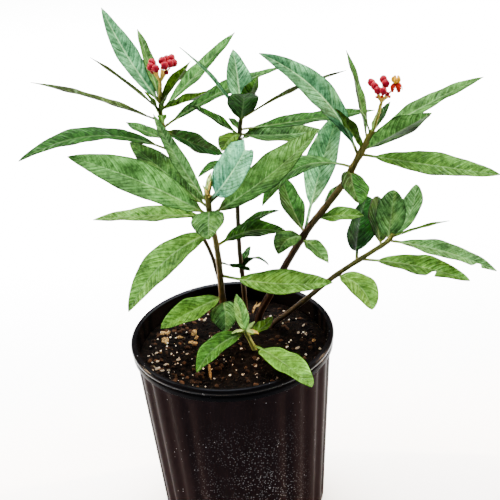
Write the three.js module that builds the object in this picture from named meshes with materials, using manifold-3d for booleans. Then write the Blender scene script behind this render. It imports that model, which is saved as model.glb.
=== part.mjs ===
// A potted milkweed: five leafy stems and a low basal shoot of a young tropical milkweed, with two
// flower umbels in bud, standing in potting mix in a black fluted nursery pot.
// Millimetres, +Z up. The origin is the middle of the pot's underside and -Y is the front.
import * as THREE from "three";
import { mergeVertices } from "three/addons/utils/BufferGeometryUtils.js";
import Module from "manifold-3d";

// The nursery pot.
const POT_HEIGHT = 165;
const RIM_RADIUS = 82.5;
const RIM_WIDTH = 4.6;
const BEAD_HEIGHT = 5.5;
const GROOVE_DEPTH = 1.7;
const BAND_HEIGHT = 11.5;
const BAND_SETBACK = 0.9;
const EDGE_ROUND = 0.8;
const SHOULDER_RADIUS = 79.2;
const FOOT_RADIUS = 66.6;
const FOOT_ROUND = 3;
const WALL = 2.2;
const FLOOR = 3;
const FLUTES = 24;
const FLUTE_DEPTH = 1.5;
const FLUTE_FOOT = 8;
const FLUTE_FADE = 5;
const COLUMNS_PER_FLUTE = 2;
const DRAIN_HOLES = 6;
const DRAIN_RADIUS = 5;
const DRAIN_CIRCLE = 54.6;

// The potting mix, level with the soil line inside the rim.
const SOIL_LEVEL = 149;
const SOIL_RELIEF = 2.2;
const SOIL_RINGS = 6;
const SOIL_COLUMNS = 32;
const SWELL_SHARE = 0.35;
const SWELL_ACROSS = 17;
const SWELL_DEEP = 14;
const SWELL_SLANTED = 9;
const CRUMB_SHARE = 0.45;

// Clearance between pieces that touch, and how deep a stem stands in the mix.
const GAP = 0.3;
const ROOT_DEPTH = 24;
const STEM_SIDES = 6;

// Leaf blade: thickness at its edge and at the midrib, petiole, fold along the midrib and waved edge.
const EDGE_THICKNESS = 0.7;
const MIDRIB_THICKNESS = 1.4;
const MIDRIB_THINNING = 0.6;
const PETIOLE_HALF_WIDTH = 1.1;
const TIP_HALF_WIDTH = 0.35;
const BLADE_STATIONS = [0.1, 0.3, 0.52, 0.74, 0.91, 1];
const WIDEST_POWER = 0.92;
const FOLD = 16;
const WAVE_HEIGHT = 0.9;
const WAVES = 2;

// Flower umbels.
const PEDUNCLE_RADIUS = 1.5;
const PEDICEL_RADIUS = 0.8;
const PEDICEL_SIDES = 4;
const BUD_RADIUS = 3;
const BUD_LENGTH = 6.8;
const PEDICEL_BEND = 1.5;

// The open flower: petals bent down from a small disc, and a crown of hoods round a column above it.
const PETALS = 5;
const DISC_RADIUS = 2.2;
const DISC_THICKNESS = 1;
const PETAL_LENGTH = 7.5;
const PETAL_WIDTH = 4.2;
const PETAL_THICKNESS = 0.8;
const PETAL_STATIONS = [0, 0.3, 0.65, 1];
const PETAL_FIRST_ANGLE = 20;
const PETAL_TURN = 115;
const PETAL_FOOT = 1.2;
const PETAL_REACH = 0.42;
const PETAL_DROP = 0.8;
const PETAL_FOOT_WIDTH = 0.45;
const CROWN_HEIGHT = 5;
const COLUMN_SHARE = 0.7;
const CROWN_RADIUS = 1.8;
const HOOD_RADIUS = 1.25;

// Each stem: its thickness at the mix and at its top, the points it passes through from the mix up,
// and its leaves. A leaf row is: height of its joint, heading (0 is right, 90 is back), rise, length,
// width, lift and swing of the midrib's middle off the straight line, turn about the midrib, the
// petiole's share of the length, and the taper, which is small for a blunt leaf.
const STEMS = {
  leafy_stem_front_left: {
    thickness: [5.8, 4.2],
    route: [[-5, 31, 150], [-6, 28, 183], [-6, 24, 210], [-7, 20, 238], [-10, 16, 268],
      [-10, 14, 286]],
    leaves: [
      [265, 167, 24, 122, 31, 5, 0, 34, 0.06, 0.8],
      [265, 169, -3, 96, 18, 2, -1, 13, 0.08, 0.85],
      [250, 224, -16, 100, 27, 8, -5, 17, 0.05, 0.8],
      [271, 267, -14, 34, 28, 2, 0, -8, 0.05, 0.75],
      [277, 132, 47, 84, 13, -1, 2, 14, 0.06, 0.85],
      [279, 344, 57, 67, 28, -3, 0, -60, 0.14, 0.45],
      [273, 132, 18, 96, 29, -1, 0, 3, 0.08, 0.75],
      [276, 334, 42, 20, 6, 1, 0, 0, 0.08, 0.85],
      [280, 28, 69, 32, 8, 1, 0, 20, 0.08, 0.75],
      [266, 1, 37, 112, 34, -5, 0, -22, 0.07, 0.8],
      [235, 20, -4, 62, 20, 7, 2, -16, 0.12, 0.8],
      [205, 335, 6, 98, 25, -3, -2, -25, 0.17, 0.75],
      [219, 25, -32, 32, 11, 0, 0, 40, 0.3, 0.6],
      [183, 212, -6, 60, 24, 1, 0, 14, 0.06, 0.7],
      [179, 271, -25, 31, 25, 2, 1, -12, 0.08, 0.75],
    ],
  },
  leafy_stem_back_left: {
    thickness: [3.8, 2.8],
    route: [[-5, 48, 150], [-8, 52, 185], [-13, 55, 210], [-22, 59, 233], [-32, 64, 265],
      [-39, 68, 300], [-43, 72, 334], [-42, 72, 346]],
    leaves: [
      [340, 130, 45, 92, 19, 0, 3, 12, 0.05, 0.85],
      [334, 190, 47, 74, 8, 1, 0, -6, 0.08, 0.85],
      [324, 165, 16, 112, 12, 2, -1, -8, 0.08, 0.85],
      [341, 107, 41, 67, 13, 2, 0, -29, 0.08, 0.85],
      [342, 336, 52, 48, 15, 0, 0, 30, 0.05, 1.2],
      [333, 41, 25, 93, 17, 0, -1, 0, 0.08, 0.85],
      [335, 343, 24, 45, 16, -1, 0, 41, 0.08, 0.85],
      [319, 26, 12, 112, 17, 4, 2, -9, 0.08, 0.85],
      [300, 198, 9, 124, 20, 14, -7, 12, 0.08, 0.75],
      [309, 139, 6, 44, 13, -1, 0, 5, 0.08, 0.85],
      [317, 27, -36, 62, 19, -1, -1, -38, 0.06, 0.7],
    ],
  },
  leafy_stem_middle: {
    thickness: [4.4, 3.2],
    route: [[12, 44, 150], [12, 46, 182], [11, 48, 212], [12, 51, 248], [14, 54, 285],
      [19, 57, 319], [21, 58, 332]],
    leaves: [
      [329, 93, 41, 60, 22, 2, -1, -20, 0.08, 0.85],
      [326, 278, 50, 50, 26, 3, 1, 6, 0.08, 0.6],
      [329, 311, 61, 49, 14, 1, 0, 21, 0.08, 0.85],
      [328, 31, 6, 104, 8, 2, 3, 55, 0.08, 0.85],
      [329, 189, 57, 80, 10, 3, 0, -22, 0.08, 0.85],
      [314, 164, 33, 45, 13, 1, 0, -1, 0.08, 0.85],
      [319, 17, -4, 116, 17, 0, 0, -11, 0.08, 0.85],
      [315, 25, -13, 76, 22, -2, -1, -23, 0.06, 0.7],
      [316, 236, -8, 27, 17, 2, -1, 0, 0.08, 0.7],
      [310, 38, -1, 26, 11, 1, 0, 60, 0.08, 0.85],
      [318, 114, 10, 20, 8, 1, 0, -13, 0.08, 0.85],
      [234, 8, 17, 36, 10, 2, 0, -5, 0.08, 0.85],
      [194, 328, 25, 29, 9, 8, 3, 30, 0.08, 0.55],
      [196, 64, 31, 22, 10, 1, 0, 27, 0.08, 0.55],
      [290, 218, 5, 40, 12, 5, 0, 0, 0.1, 0.8],
    ],
  },
  leafy_stem_right: {
    thickness: [6.6, 5],
    route: [[22, 42, 150], [34, 41, 175], [47, 40, 200], [58, 39, 219], [71, 38, 239],
      [85, 37, 257], [98, 36, 275], [109, 35, 295], [114, 35, 304], [123, 35, 320]],
    leaves: [
      [298, 162, 48, 114, 24, 11, -5, 32, 0.1, 0.85],
      [304, 177, 62, 42, 16, 1, 0, -40, 0.05, 0.8],
      [311, 101, 47, 77, 14, 2, -1, -50, 0.08, 0.85],
      [312, 16, 19, 105, 18, 2, 1, -8, 0.08, 0.85],
      [303, 343, 33, 67, 25, 0, 0, 60, 0.08, 0.85],
      [300, 335, -1, 114, 23, 0, -1, -22, 0.11, 0.75],
      [316, 52, 29, 34, 9, 1, 0, 5, 0.08, 0.85],
      [289, 188, -17, 78, 22, 14, -9, 11, 0.16, 0.8],
      [229, 53, 55, 104, 28, 2, 1, -5, 0.24, 0.75],
      [230, 107, 32, 60, 22, 0, 2, -16, 0.08, 0.85],
      [243, 337, 12, 42, 17, 2, 0, -18, 0.12, 0.75],
      [252, 31, 47, 24, 9, 1, 0, 11, 0.08, 0.85],
      [286, 277, -23, 35, 26, 0, -2, 24, 0.04, 0.6],
      [228, 230, 0, 34, 21, 4, -3, 11, 0.08, 0.75],
      [226, 306, -16, 34, 15, 2, 0, -3, 0.08, 0.85],
    ],
  },
  leafy_stem_far_right: {
    thickness: [4.8, 3.6],
    route: [[33, 29, 150], [47, 27, 163], [66, 24, 180], [83, 21, 196], [99, 18, 209],
      [115, 15, 221], [130, 12, 233], [134, 12, 239]],
    leaves: [
      [213, 73, 33, 60, 32, 1, 2, -153, 0.16, 0.55],
      [233, 58, 73, 42, 25, 2, -1, 150, 0.08, 0.55],
      [235, 56, 30, 53, 25, -3, -5, 19, 0.08, 0.6],
      [233, 330, -5, 92, 18, 3, 2, -11, 0.1, 0.75],
      [236, 345, 21, 50, 6, 1, 0, 13, 0.08, 0.85],
      [215, 328, 2, 96, 23, 2, 3, -11, 0.16, 0.75],
      [200, 302, -13, 48, 25, 4, 5, 0, 0.08, 0.6],
      [228, 87, 32, 46, 23, 0, 2, -39, 0.08, 0.6],
    ],
  },
  basal_shoot: {
    thickness: [4.2, 3.4],
    route: [[17, -5, 150], [14, -5, 160], [11, -6, 169]],
    leaves: [
      [167, 108, 55, 33, 12, 2, 1, -6, 0.05, 0.8],
      [165, 39, 11, 28, 13, -1, -2, -2, 0.08, 0.8],
      [168, 222, -10, 56, 21, 4, -4, 5, 0.05, 0.8],
      [155, 296, 9, 99, 27, 5, -1, 5, 0.2, 0.6],
    ],
  },
};

// Umbels: the stem they top, the hub where the pedicels part, and for each bud its middle from the hub
// and its size beside a full one.
const UMBELS = {
  flower_umbel_left: {
    stem: "leafy_stem_back_left",
    hub: [-41, 72, 358],
    buds: [[-5, 2, 17, 1], [-6, -6, 17, 1], [-2, -10, 17, 1], [-5, -2, 11, 0.6], [3, 4, 17, 1],
      [6, 11, 15, 1], [5, -8, 18, 1], [10, 8, 17, 1], [12, 0, 16, 1], [9, -5, 18, 1], [6, -8, 12, 0.6]],
  },
  flower_umbel_right: {
    stem: "leafy_stem_right",
    hub: [130, 35, 343],
    buds: [[-7, 3, 17, 1], [-5, -4, 17, 1], [-3, -8, 15, 1], [1, -10, 15, 1], [3, 7, 17, 1],
      [4, -1, 17, 1], [4, -9, 12, 0.6]],
  },
};
const OPEN_FLOWER = [12, -1, 16];

const GREEN = new THREE.MeshStandardMaterial({ color: 0x4f7d45, roughness: 0.55, metalness: 0 });
const BUD_RED = new THREE.MeshStandardMaterial({ color: 0xa83a36, roughness: 0.5, metalness: 0 });
const PETAL_RED = new THREE.MeshStandardMaterial({ color: 0xc8202c, roughness: 0.45, metalness: 0 });
const CROWN_ORANGE = new THREE.MeshStandardMaterial({ color: 0xf5a21b, roughness: 0.5, metalness: 0 });
const BLACK_PLASTIC = new THREE.MeshStandardMaterial({ color: 0x17151a, roughness: 0.35, metalness: 0 });
const DARK_MIX = new THREE.MeshStandardMaterial({ color: 0x2a1e19, roughness: 0.95, metalness: 0 });

const radians = THREE.MathUtils.degToRad;
const vector = (place) => new THREE.Vector3(...place);
const wasm = await Module();
wasm.setup();

// A closed geometry as a solid that can be joined and cut.
function solidOf(geometry) {
  const bare = geometry.index ? geometry.toNonIndexed() : geometry.clone();
  bare.deleteAttribute("normal");
  bare.deleteAttribute("uv");
  const merged = mergeVertices(bare, 1e-4);
  return new wasm.Manifold(
    new wasm.Mesh({
      numProp: 3,
      vertProperties: merged.attributes.position.array,
      triVerts: new Uint32Array(merged.index.array),
    }),
  );
}

function joined(solids) {
  return solids.reduce((whole, next) => whole.add(next));
}

// A solid as the named piece that the group holds.
function piece(name, body, material) {
  const mesh = body.getMesh();
  const geometry = new THREE.BufferGeometry();
  geometry.setAttribute("position", new THREE.BufferAttribute(mesh.vertProperties, mesh.numProp));
  geometry.setIndex(new THREE.BufferAttribute(mesh.triVerts, 1));
  geometry.computeVertexNormals();
  const made = new THREE.Mesh(geometry, material);
  made.name = name;
  return made;
}

// A closed skin through rings of equal count. Sides listed in crossed split along the other diagonal,
// so that a blade's two faces split alike.
function loft(rings, crossed = []) {
  const count = rings[0].length;
  const corners = [];
  const triangle = (...points) => points.forEach((p) => corners.push(p.x, p.y, p.z));
  for (let row = 0; row + 1 < rings.length; row += 1) {
    for (let side = 0; side < count; side += 1) {
      const next = (side + 1) % count;
      const [a, b] = [rings[row][side], rings[row][next]];
      const [c, d] = [rings[row + 1][next], rings[row + 1][side]];
      if (crossed.includes(side)) {
        triangle(a, b, d);
        triangle(b, c, d);
      } else {
        triangle(a, b, c);
        triangle(a, c, d);
      }
    }
  }
  const [first, last] = [rings[0], rings.at(-1)];
  for (let side = 1; side + 1 < count; side += 1) {
    triangle(first[0], first[side + 1], first[side]);
    triangle(last[0], last[side], last[side + 1]);
  }
  const geometry = new THREE.BufferGeometry();
  geometry.setAttribute("position", new THREE.Float32BufferAttribute(corners, 3));
  return geometry;
}

// A round stalk along a curve, with its radius given by the share of the way along it.
function stalk(curve, steps, sides, radiusAt) {
  const rings = [];
  for (let step = 0; step <= steps; step += 1) {
    const share = step / steps;
    const middle = curve.getPoint(share);
    const tangent = curve.getTangent(share);
    const across = new THREE.Vector3(0, 1, 0).cross(tangent).normalize();
    const upright = tangent.clone().cross(across);
    const ring = [];
    for (let side = 0; side < sides; side += 1) {
      const angle = (2 * Math.PI * side) / sides;
      const point = middle.clone().addScaledVector(across, radiusAt(share) * Math.cos(angle));
      ring.push(point.addScaledVector(upright, radiusAt(share) * Math.sin(angle)));
    }
    rings.push(ring);
  }
  return solidOf(loft(rings));
}

// The half width of a lance-shaped blade, as a share of its widest, along the blade.
function bladeShare(along, taper) {
  return Math.max(0, Math.sin(Math.PI * along ** WIDEST_POWER)) ** taper;
}

// One leaf: a petiole rooted in the stem, then a folded, arched blade with a waved edge.
function leaf(root, [, heading, rise, length, width, lift, swing, turn, petiole, taper]) {
  const forward = new THREE.Vector3(Math.cos(radians(heading)), Math.sin(radians(heading)), 0);
  forward.multiplyScalar(Math.cos(radians(rise))).setZ(Math.sin(radians(rise)));
  const up = new THREE.Vector3(0, 0, 1).addScaledVector(forward, -forward.z).normalize();
  const left = up.clone().cross(forward);
  const face = up.clone().multiplyScalar(Math.cos(radians(turn)));
  face.addScaledVector(left, Math.sin(radians(turn)));

  function ring(share, half, edge, middle, wave) {
    const bow = 4 * share * (1 - share);
    const slope = (4 * (1 - 2 * share)) / length;
    const centre = root.clone().addScaledVector(forward, share * length);
    centre.addScaledVector(up, bow * lift).addScaledVector(left, bow * swing);
    const tangent = forward.clone().addScaledVector(up, slope * lift);
    tangent.addScaledVector(left, slope * swing).normalize();
    const normal = face.clone().addScaledVector(tangent, -face.dot(tangent)).normalize();
    const across = normal.clone().cross(tangent);
    const at = (sideways, raised) =>
      centre.clone().addScaledVector(across, sideways).addScaledVector(normal, raised);
    const reach = half * Math.cos(radians(FOLD));
    const fold = half * Math.sin(radians(FOLD));
    return [
      at(reach, fold + wave),
      at(0, 0),
      at(-reach, fold - wave),
      at(-reach, fold - wave - edge),
      at(0, -middle),
      at(reach, fold + wave - edge),
    ];
  }

  const rings = [
    ring(0, PETIOLE_HALF_WIDTH, EDGE_THICKNESS, MIDRIB_THICKNESS, 0),
    ring(petiole, PETIOLE_HALF_WIDTH, EDGE_THICKNESS, MIDRIB_THICKNESS, 0),
  ];
  for (const along of BLADE_STATIONS) {
    const share = petiole + along * (1 - petiole);
    const full = bladeShare(along, taper);
    const half = Math.max(TIP_HALF_WIDTH, (width / 2) * full);
    const wave = WAVE_HEIGHT * full * Math.sin(2 * Math.PI * WAVES * along + heading);
    rings.push(ring(share, half, EDGE_THICKNESS, MIDRIB_THICKNESS - MIDRIB_THINNING * along, wave));
  }
  return solidOf(loft(rings, [3, 4]));
}

// The point of a stem's curve at a height.
function pointAtHeight(curve, height) {
  const points = curve.getPoints(400);
  return points.find((point) => point.z >= height) ?? points.at(-1);
}

function stemCurve({ route }) {
  const [x, y, z] = route[0];
  return new THREE.CatmullRomCurve3([[x, y, z - ROOT_DEPTH], ...route].map(vector));
}

function stemRadius({ thickness: [base, top] }) {
  return (share) => (base + (top - base) * share) / 2;
}

function leafyStem(stem) {
  const curve = stemCurve(stem);
  const stalkSolid = stalk(curve, stem.route.length + 2, STEM_SIDES, stemRadius(stem));
  return joined([stalkSolid, ...stem.leaves.map((row) => leaf(pointAtHeight(curve, row[0]), row))]);
}

// The hole that a stem stands in: the stem with the clearance all round and below.
function stemHole(stem) {
  const radius = stemRadius(stem);
  const fat = stalk(stemCurve(stem), stem.route.length + 2, STEM_SIDES, (share) => radius(share) + 2 * GAP);
  return fat.add(fat.translate([0, 0, -GAP]));
}

// How far the pot's wall is drawn in at a height and a column: narrow grooves between flat ribs.
function fluteAt(height, column) {
  const top = POT_HEIGHT - BAND_HEIGHT;
  const rise = THREE.MathUtils.clamp((height - FLUTE_FOOT) / FLUTE_FADE, 0, 1);
  const fall = THREE.MathUtils.clamp((top - height) / FLUTE_FADE, 0, 1);
  return column % COLUMNS_PER_FLUTE === 0 ? FLUTE_DEPTH * Math.min(rise, fall) : 0;
}

// The pot: a turned shell with a double ring at the rim, fluted walls and drain holes at the foot.
function nurseryPot() {
  const shoulder = POT_HEIGHT - BAND_HEIGHT;
  const groove = POT_HEIGHT - BEAD_HEIGHT;
  const slope = (SHOULDER_RADIUS - FOOT_RADIUS) / shoulder;
  const wallAt = (height) => FOOT_RADIUS + slope * height;
  const inner = RIM_RADIUS - RIM_WIDTH;
  const profile = [
    [0, 0],
    [FOOT_RADIUS - FOOT_ROUND, 0],
    [wallAt(FOOT_ROUND), FOOT_ROUND],
    [wallAt(FLUTE_FOOT), FLUTE_FOOT],
    [wallAt(FLUTE_FOOT + FLUTE_FADE), FLUTE_FOOT + FLUTE_FADE],
    [wallAt(shoulder - FLUTE_FADE), shoulder - FLUTE_FADE],
    [wallAt(shoulder), shoulder],
    [RIM_RADIUS - BAND_SETBACK, shoulder + EDGE_ROUND],
    [RIM_RADIUS - BAND_SETBACK, groove - 2 * EDGE_ROUND],
    [RIM_RADIUS - GROOVE_DEPTH, groove - EDGE_ROUND],
    [RIM_RADIUS - EDGE_ROUND / 2, groove + EDGE_ROUND],
    [RIM_RADIUS, groove + BEAD_HEIGHT / 2],
    [RIM_RADIUS - EDGE_ROUND, POT_HEIGHT - EDGE_ROUND / 2],
    [RIM_RADIUS - 3 * EDGE_ROUND, POT_HEIGHT],
    [inner, POT_HEIGHT - EDGE_ROUND],
    [wallAt(SOIL_LEVEL) - WALL, SOIL_LEVEL],
    [wallAt(FLOOR) - WALL - FLUTE_DEPTH, FLOOR],
    [0, FLOOR],
  ].map(([radius, height]) => new THREE.Vector2(radius, height));
  const columns = FLUTES * COLUMNS_PER_FLUTE;
  const turned = new THREE.LatheGeometry(profile, columns);
  const places = turned.attributes.position;
  for (let index = 0; index < places.count; index += 1) {
    const row = index % profile.length;
    const column = Math.floor(index / profile.length) % columns;
    if (row > 2 && row < 7) {
      const { x: radius, y: height } = profile[row];
      const pull = 1 - fluteAt(height, column) / radius;
      places.setX(index, places.getX(index) * pull);
      places.setZ(index, places.getZ(index) * pull);
    }
  }
  turned.rotateX(Math.PI / 2);
  const drains = [];
  for (let hole = 0; hole < DRAIN_HOLES; hole += 1) {
    const drill = new THREE.CylinderGeometry(DRAIN_RADIUS, DRAIN_RADIUS, 4 * FLOOR, 12);
    drill.rotateX(Math.PI / 2).translate(DRAIN_CIRCLE, 0, FLOOR);
    drill.rotateZ((2 * Math.PI * (hole + 0.5)) / DRAIN_HOLES);
    drains.push(solidOf(drill));
  }
  return solidOf(turned).subtract(joined(drains));
}

// The mix's uneven surface: broad swells and small crumbs.
function soilBump(x, y) {
  const slanted = Math.sin((x + y) / SWELL_SLANTED) / 2;
  const swell = Math.sin(x / SWELL_ACROSS + 1) * Math.cos(y / SWELL_DEEP) + slanted;
  const crumb = Math.sin(x * 1.3 + y * 0.7) * Math.cos(y * 1.1 - x * 0.4);
  return SOIL_RELIEF * (SWELL_SHARE * swell + CRUMB_SHARE * crumb);
}

// The mix fills the pot to the soil line, clear of the wall, with a hole for each stem.
function pottingMix() {
  const slope = (SHOULDER_RADIUS - FOOT_RADIUS) / (POT_HEIGHT - BAND_HEIGHT);
  const top = FOOT_RADIUS + slope * SOIL_LEVEL - WALL - GAP;
  const bottom = FOOT_RADIUS + slope * FLOOR - WALL - FLUTE_DEPTH - GAP;
  const profile = [new THREE.Vector2(0, FLOOR + GAP), new THREE.Vector2(bottom, FLOOR + GAP)];
  for (let ring = SOIL_RINGS; ring >= 0; ring -= 1) {
    profile.push(new THREE.Vector2((top * ring) / SOIL_RINGS, SOIL_LEVEL));
  }
  const mix = new THREE.LatheGeometry(profile, SOIL_COLUMNS);
  mix.rotateX(Math.PI / 2);
  const places = mix.attributes.position;
  for (let index = 0; index < places.count; index += 1) {
    const [x, y] = [places.getX(index), places.getY(index)];
    const free = places.getZ(index) > FLOOR + 1 && Math.hypot(x, y) < top - 1;
    if (free) places.setZ(index, SOIL_LEVEL + soilBump(x, y));
  }
  return solidOf(mix).subtract(joined(Object.values(STEMS).map(stemHole)));
}

// A bud: an egg-shaped body on its pedicel, pointing away from the hub.
function budOnPedicel(hub, [x, y, z, size]) {
  const offset = [x, y, z];
  const middle = hub.clone().add(vector(offset));
  const outward = vector(offset).normalize();
  const bend = hub.clone().addScaledVector(vector(offset), 0.5).add(new THREE.Vector3(0, 0, PEDICEL_BEND));
  const curve = new THREE.QuadraticBezierCurve3(hub, bend, middle);
  const egg = new THREE.SphereGeometry(BUD_RADIUS, 6, 4);
  egg.scale(size, (size * BUD_LENGTH) / (2 * BUD_RADIUS), size);
  egg.applyQuaternion(new THREE.Quaternion().setFromUnitVectors(new THREE.Vector3(0, 1, 0), outward));
  egg.translate(middle.x, middle.y, middle.z);
  return stalk(curve, 2, PEDICEL_SIDES, () => PEDICEL_RADIUS).add(solidOf(egg));
}

// An umbel: a peduncle above the stem's top, and a bud on a pedicel for each place.
function umbel({ stem, hub, buds }, flowerAt) {
  const top = vector(STEMS[stem].route.at(-1)).add(new THREE.Vector3(0, 0, 2 * GAP));
  const middle = vector(hub);
  const peduncle = stalk(new THREE.LineCurve3(top, middle), 2, STEM_SIDES, () => PEDUNCLE_RADIUS);
  const parts = [peduncle, ...buds.map((offset) => budOnPedicel(middle, offset))];
  if (flowerAt) {
    const seat = vector(flowerAt).sub(new THREE.Vector3(0, 0, 2 * GAP));
    const bend = middle.clone().addScaledVector(seat, 0.6);
    const curve = new THREE.QuadraticBezierCurve3(middle, bend, middle.clone().add(seat));
    parts.push(stalk(curve, 2, PEDICEL_SIDES, () => PEDICEL_RADIUS));
  }
  return joined(parts);
}

// The open flower's corolla: five petals bent down round the pedicel from a small ring.
function openPetals(seat) {
  const disc = new THREE.CylinderGeometry(DISC_RADIUS, DISC_RADIUS, DISC_THICKNESS, 2 * PETALS);
  disc.rotateX(Math.PI / 2).translate(0, 0, DISC_THICKNESS / 2);
  const parts = [solidOf(disc)];
  for (let petal = 0; petal < PETALS; petal += 1) {
    const rings = [];
    for (const along of PETAL_STATIONS) {
      const angle = radians(PETAL_FIRST_ANGLE - PETAL_TURN * along);
      const out = PETAL_FOOT + PETAL_LENGTH * PETAL_REACH * Math.sin(along * 1.9);
      const drop = DISC_THICKNESS / 2 - PETAL_LENGTH * PETAL_DROP * along ** 1.6;
      const swell = (1 - PETAL_FOOT_WIDTH) * Math.sin(Math.PI * along ** 0.8);
      const half = (PETAL_WIDTH / 2) * (PETAL_FOOT_WIDTH + swell);
      const sideways = (PETAL_THICKNESS / 2) * Math.sin(angle);
      const upward = (PETAL_THICKNESS / 2) * Math.cos(angle);
      rings.push([
        new THREE.Vector3(out - sideways, half, drop + upward),
        new THREE.Vector3(out - sideways, -half, drop + upward),
        new THREE.Vector3(out + sideways, -half, drop - upward),
        new THREE.Vector3(out + sideways, half, drop - upward),
      ]);
    }
    const blade = loft(rings);
    blade.rotateZ((2 * Math.PI * petal) / PETALS);
    parts.push(solidOf(blade));
  }
  return joined(parts).translate(seat.toArray());
}

// The open flower's crown: a short column ringed by five upright hoods.
function openCrown(seat) {
  const tall = COLUMN_SHARE * CROWN_HEIGHT;
  const column = new THREE.CylinderGeometry(CROWN_RADIUS, CROWN_RADIUS, tall, 2 * PETALS);
  column.rotateX(Math.PI / 2).translate(0, 0, tall / 2);
  const parts = [solidOf(column)];
  for (let hood = 0; hood < PETALS; hood += 1) {
    const shape = new THREE.SphereGeometry(HOOD_RADIUS, 6, 5);
    shape.rotateX(Math.PI / 2).scale(1, 1, CROWN_HEIGHT / (2 * HOOD_RADIUS));
    shape.translate(CROWN_RADIUS + GAP, 0, CROWN_HEIGHT / 2 + GAP);
    shape.rotateZ((2 * Math.PI * (hood + 0.5)) / PETALS);
    parts.push(solidOf(shape));
  }
  return joined(parts).translate(seat.toArray());
}

const plant = new THREE.Group();
plant.add(piece("nursery_pot", nurseryPot(), BLACK_PLASTIC));
plant.add(piece("potting_mix", pottingMix(), DARK_MIX));
for (const [name, stem] of Object.entries(STEMS)) plant.add(piece(name, leafyStem(stem), GREEN));
plant.add(piece("flower_umbel_left", umbel(UMBELS.flower_umbel_left), BUD_RED));
plant.add(piece("flower_umbel_right", umbel(UMBELS.flower_umbel_right, OPEN_FLOWER), BUD_RED));
const flowerSeat = vector(UMBELS.flower_umbel_right.hub).add(vector(OPEN_FLOWER));
plant.add(piece("open_flower_petals", openPetals(flowerSeat), PETAL_RED));
const crownSeat = flowerSeat.clone().add(new THREE.Vector3(0, 0, DISC_THICKNESS + GAP));
plant.add(piece("open_flower_crown", openCrown(crownSeat), CROWN_ORANGE));

export default plant;
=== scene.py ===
"""The looks of a potted milkweed: five leafy stems and a basal shoot in a black fluted nursery pot.

The pieces are made in the order in which the plant is potted up. Sizes are in millimetres, and each
finished mesh is in metres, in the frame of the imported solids.
"""
import math
import bpy
import numpy as np
from mathutils import Matrix, Vector, noise


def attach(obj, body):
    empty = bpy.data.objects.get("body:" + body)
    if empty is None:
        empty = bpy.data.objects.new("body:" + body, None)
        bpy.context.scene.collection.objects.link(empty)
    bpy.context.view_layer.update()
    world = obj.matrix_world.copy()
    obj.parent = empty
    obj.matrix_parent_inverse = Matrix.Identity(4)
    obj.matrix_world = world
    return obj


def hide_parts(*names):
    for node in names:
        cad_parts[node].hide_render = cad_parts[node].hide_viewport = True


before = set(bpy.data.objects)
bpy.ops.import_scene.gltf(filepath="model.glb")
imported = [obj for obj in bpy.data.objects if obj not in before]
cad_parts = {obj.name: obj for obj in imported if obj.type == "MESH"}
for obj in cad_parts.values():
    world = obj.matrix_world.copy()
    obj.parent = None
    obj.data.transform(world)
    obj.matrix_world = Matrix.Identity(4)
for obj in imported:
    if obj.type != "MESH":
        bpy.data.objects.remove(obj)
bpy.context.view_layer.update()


# Nursery pot.
# Blow-moulded black polyethylene: a rim of two rings, a wall drawn in to 24 flutes that stiffen it,
# and a flat foot with drain holes. It has stood on a bench, so dust and splashes cling to its front.
MM = 0.001
POT_HEIGHT = 165
RIM_RADIUS = 82.5
RIM_WIDTH = 4.6
BEAD_HEIGHT = 5.5
BEAD_ROUND = 2.65
GROOVE_DEPTH = 1.7
BAND_HEIGHT = 11.5
BAND_SETBACK = 0.9
SHOULDER_RADIUS = 79.2
FOOT_RADIUS = 66.6
FOOT_ROUND = 3
EDGE_ROUND = 0.8
WALL = 2.2
WALL_ROWS = 56
FLOOR = 3
FLUTES = 24
FLUTE_DEPTH = 1.5
FLUTE_SHARPNESS = 1.6
FLUTE_FOOT = 8
FLUTE_FADE = 5
COLUMNS_PER_FLUTE = 12
DRAIN_HOLES = 6
DRAIN_RADIUS = 5
DRAIN_CIRCLE = 54.6
SOIL_LEVEL = 149


def linear(code):
    """An sRGB hex colour as the linear colour that a shader takes."""
    shares = [int(code[at:at + 2], 16) / 255 for at in (1, 3, 5)]
    return (*[share / 12.92 if share <= 0.04045 else ((share + 0.055) / 1.055) ** 2.4
              for share in shares], 1.0)


def add(tree, kind, inputs=None, **settings):
    """A node of a tree with its settings, and each named input linked or set."""
    made = tree.nodes.new(kind)
    for name, value in settings.items():
        setattr(made, name, value)
    for name, value in (inputs or {}).items():
        if isinstance(value, bpy.types.NodeSocket):
            tree.links.new(value, made.inputs[name])
        else:
            made.inputs[name].default_value = value
    return made


def new_finish(name):
    """A material and its empty node tree."""
    finish = bpy.data.materials.new(name)
    finish.use_nodes = True
    finish.node_tree.nodes.clear()
    return finish, finish.node_tree


def tree_with(name, sizes):
    """A Geometry Nodes tree with named inputs, and the outputs that hold their values."""
    tree = bpy.data.node_groups.new(name, "GeometryNodeTree")
    tree.interface.new_socket("Geometry", in_out="INPUT", socket_type="NodeSocketGeometry")
    for label, kind in sizes.items():
        tree.interface.new_socket(label, in_out="INPUT", socket_type="NodeSocket" + kind)
    tree.interface.new_socket("Geometry", in_out="OUTPUT", socket_type="NodeSocketGeometry")
    return tree, tree.nodes.new("NodeGroupInput").outputs


def object_of(name, corners, faces):
    """An object at the origin from corners in millimetres and faces."""
    mesh = bpy.data.meshes.new(name)
    mesh.from_pydata((np.asarray(corners, float) * MM).tolist(), [], faces)
    made = bpy.data.objects.new(name, mesh)
    bpy.context.scene.collection.objects.link(made)
    return made


def settled(obj):
    """Keeps the result of an object's modifiers as its plain mesh."""
    graph = bpy.context.evaluated_depsgraph_get()
    mesh = bpy.data.meshes.new_from_object(obj.evaluated_get(graph), depsgraph=graph)
    obj.modifiers.clear()
    obj.data = mesh
    return obj


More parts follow.
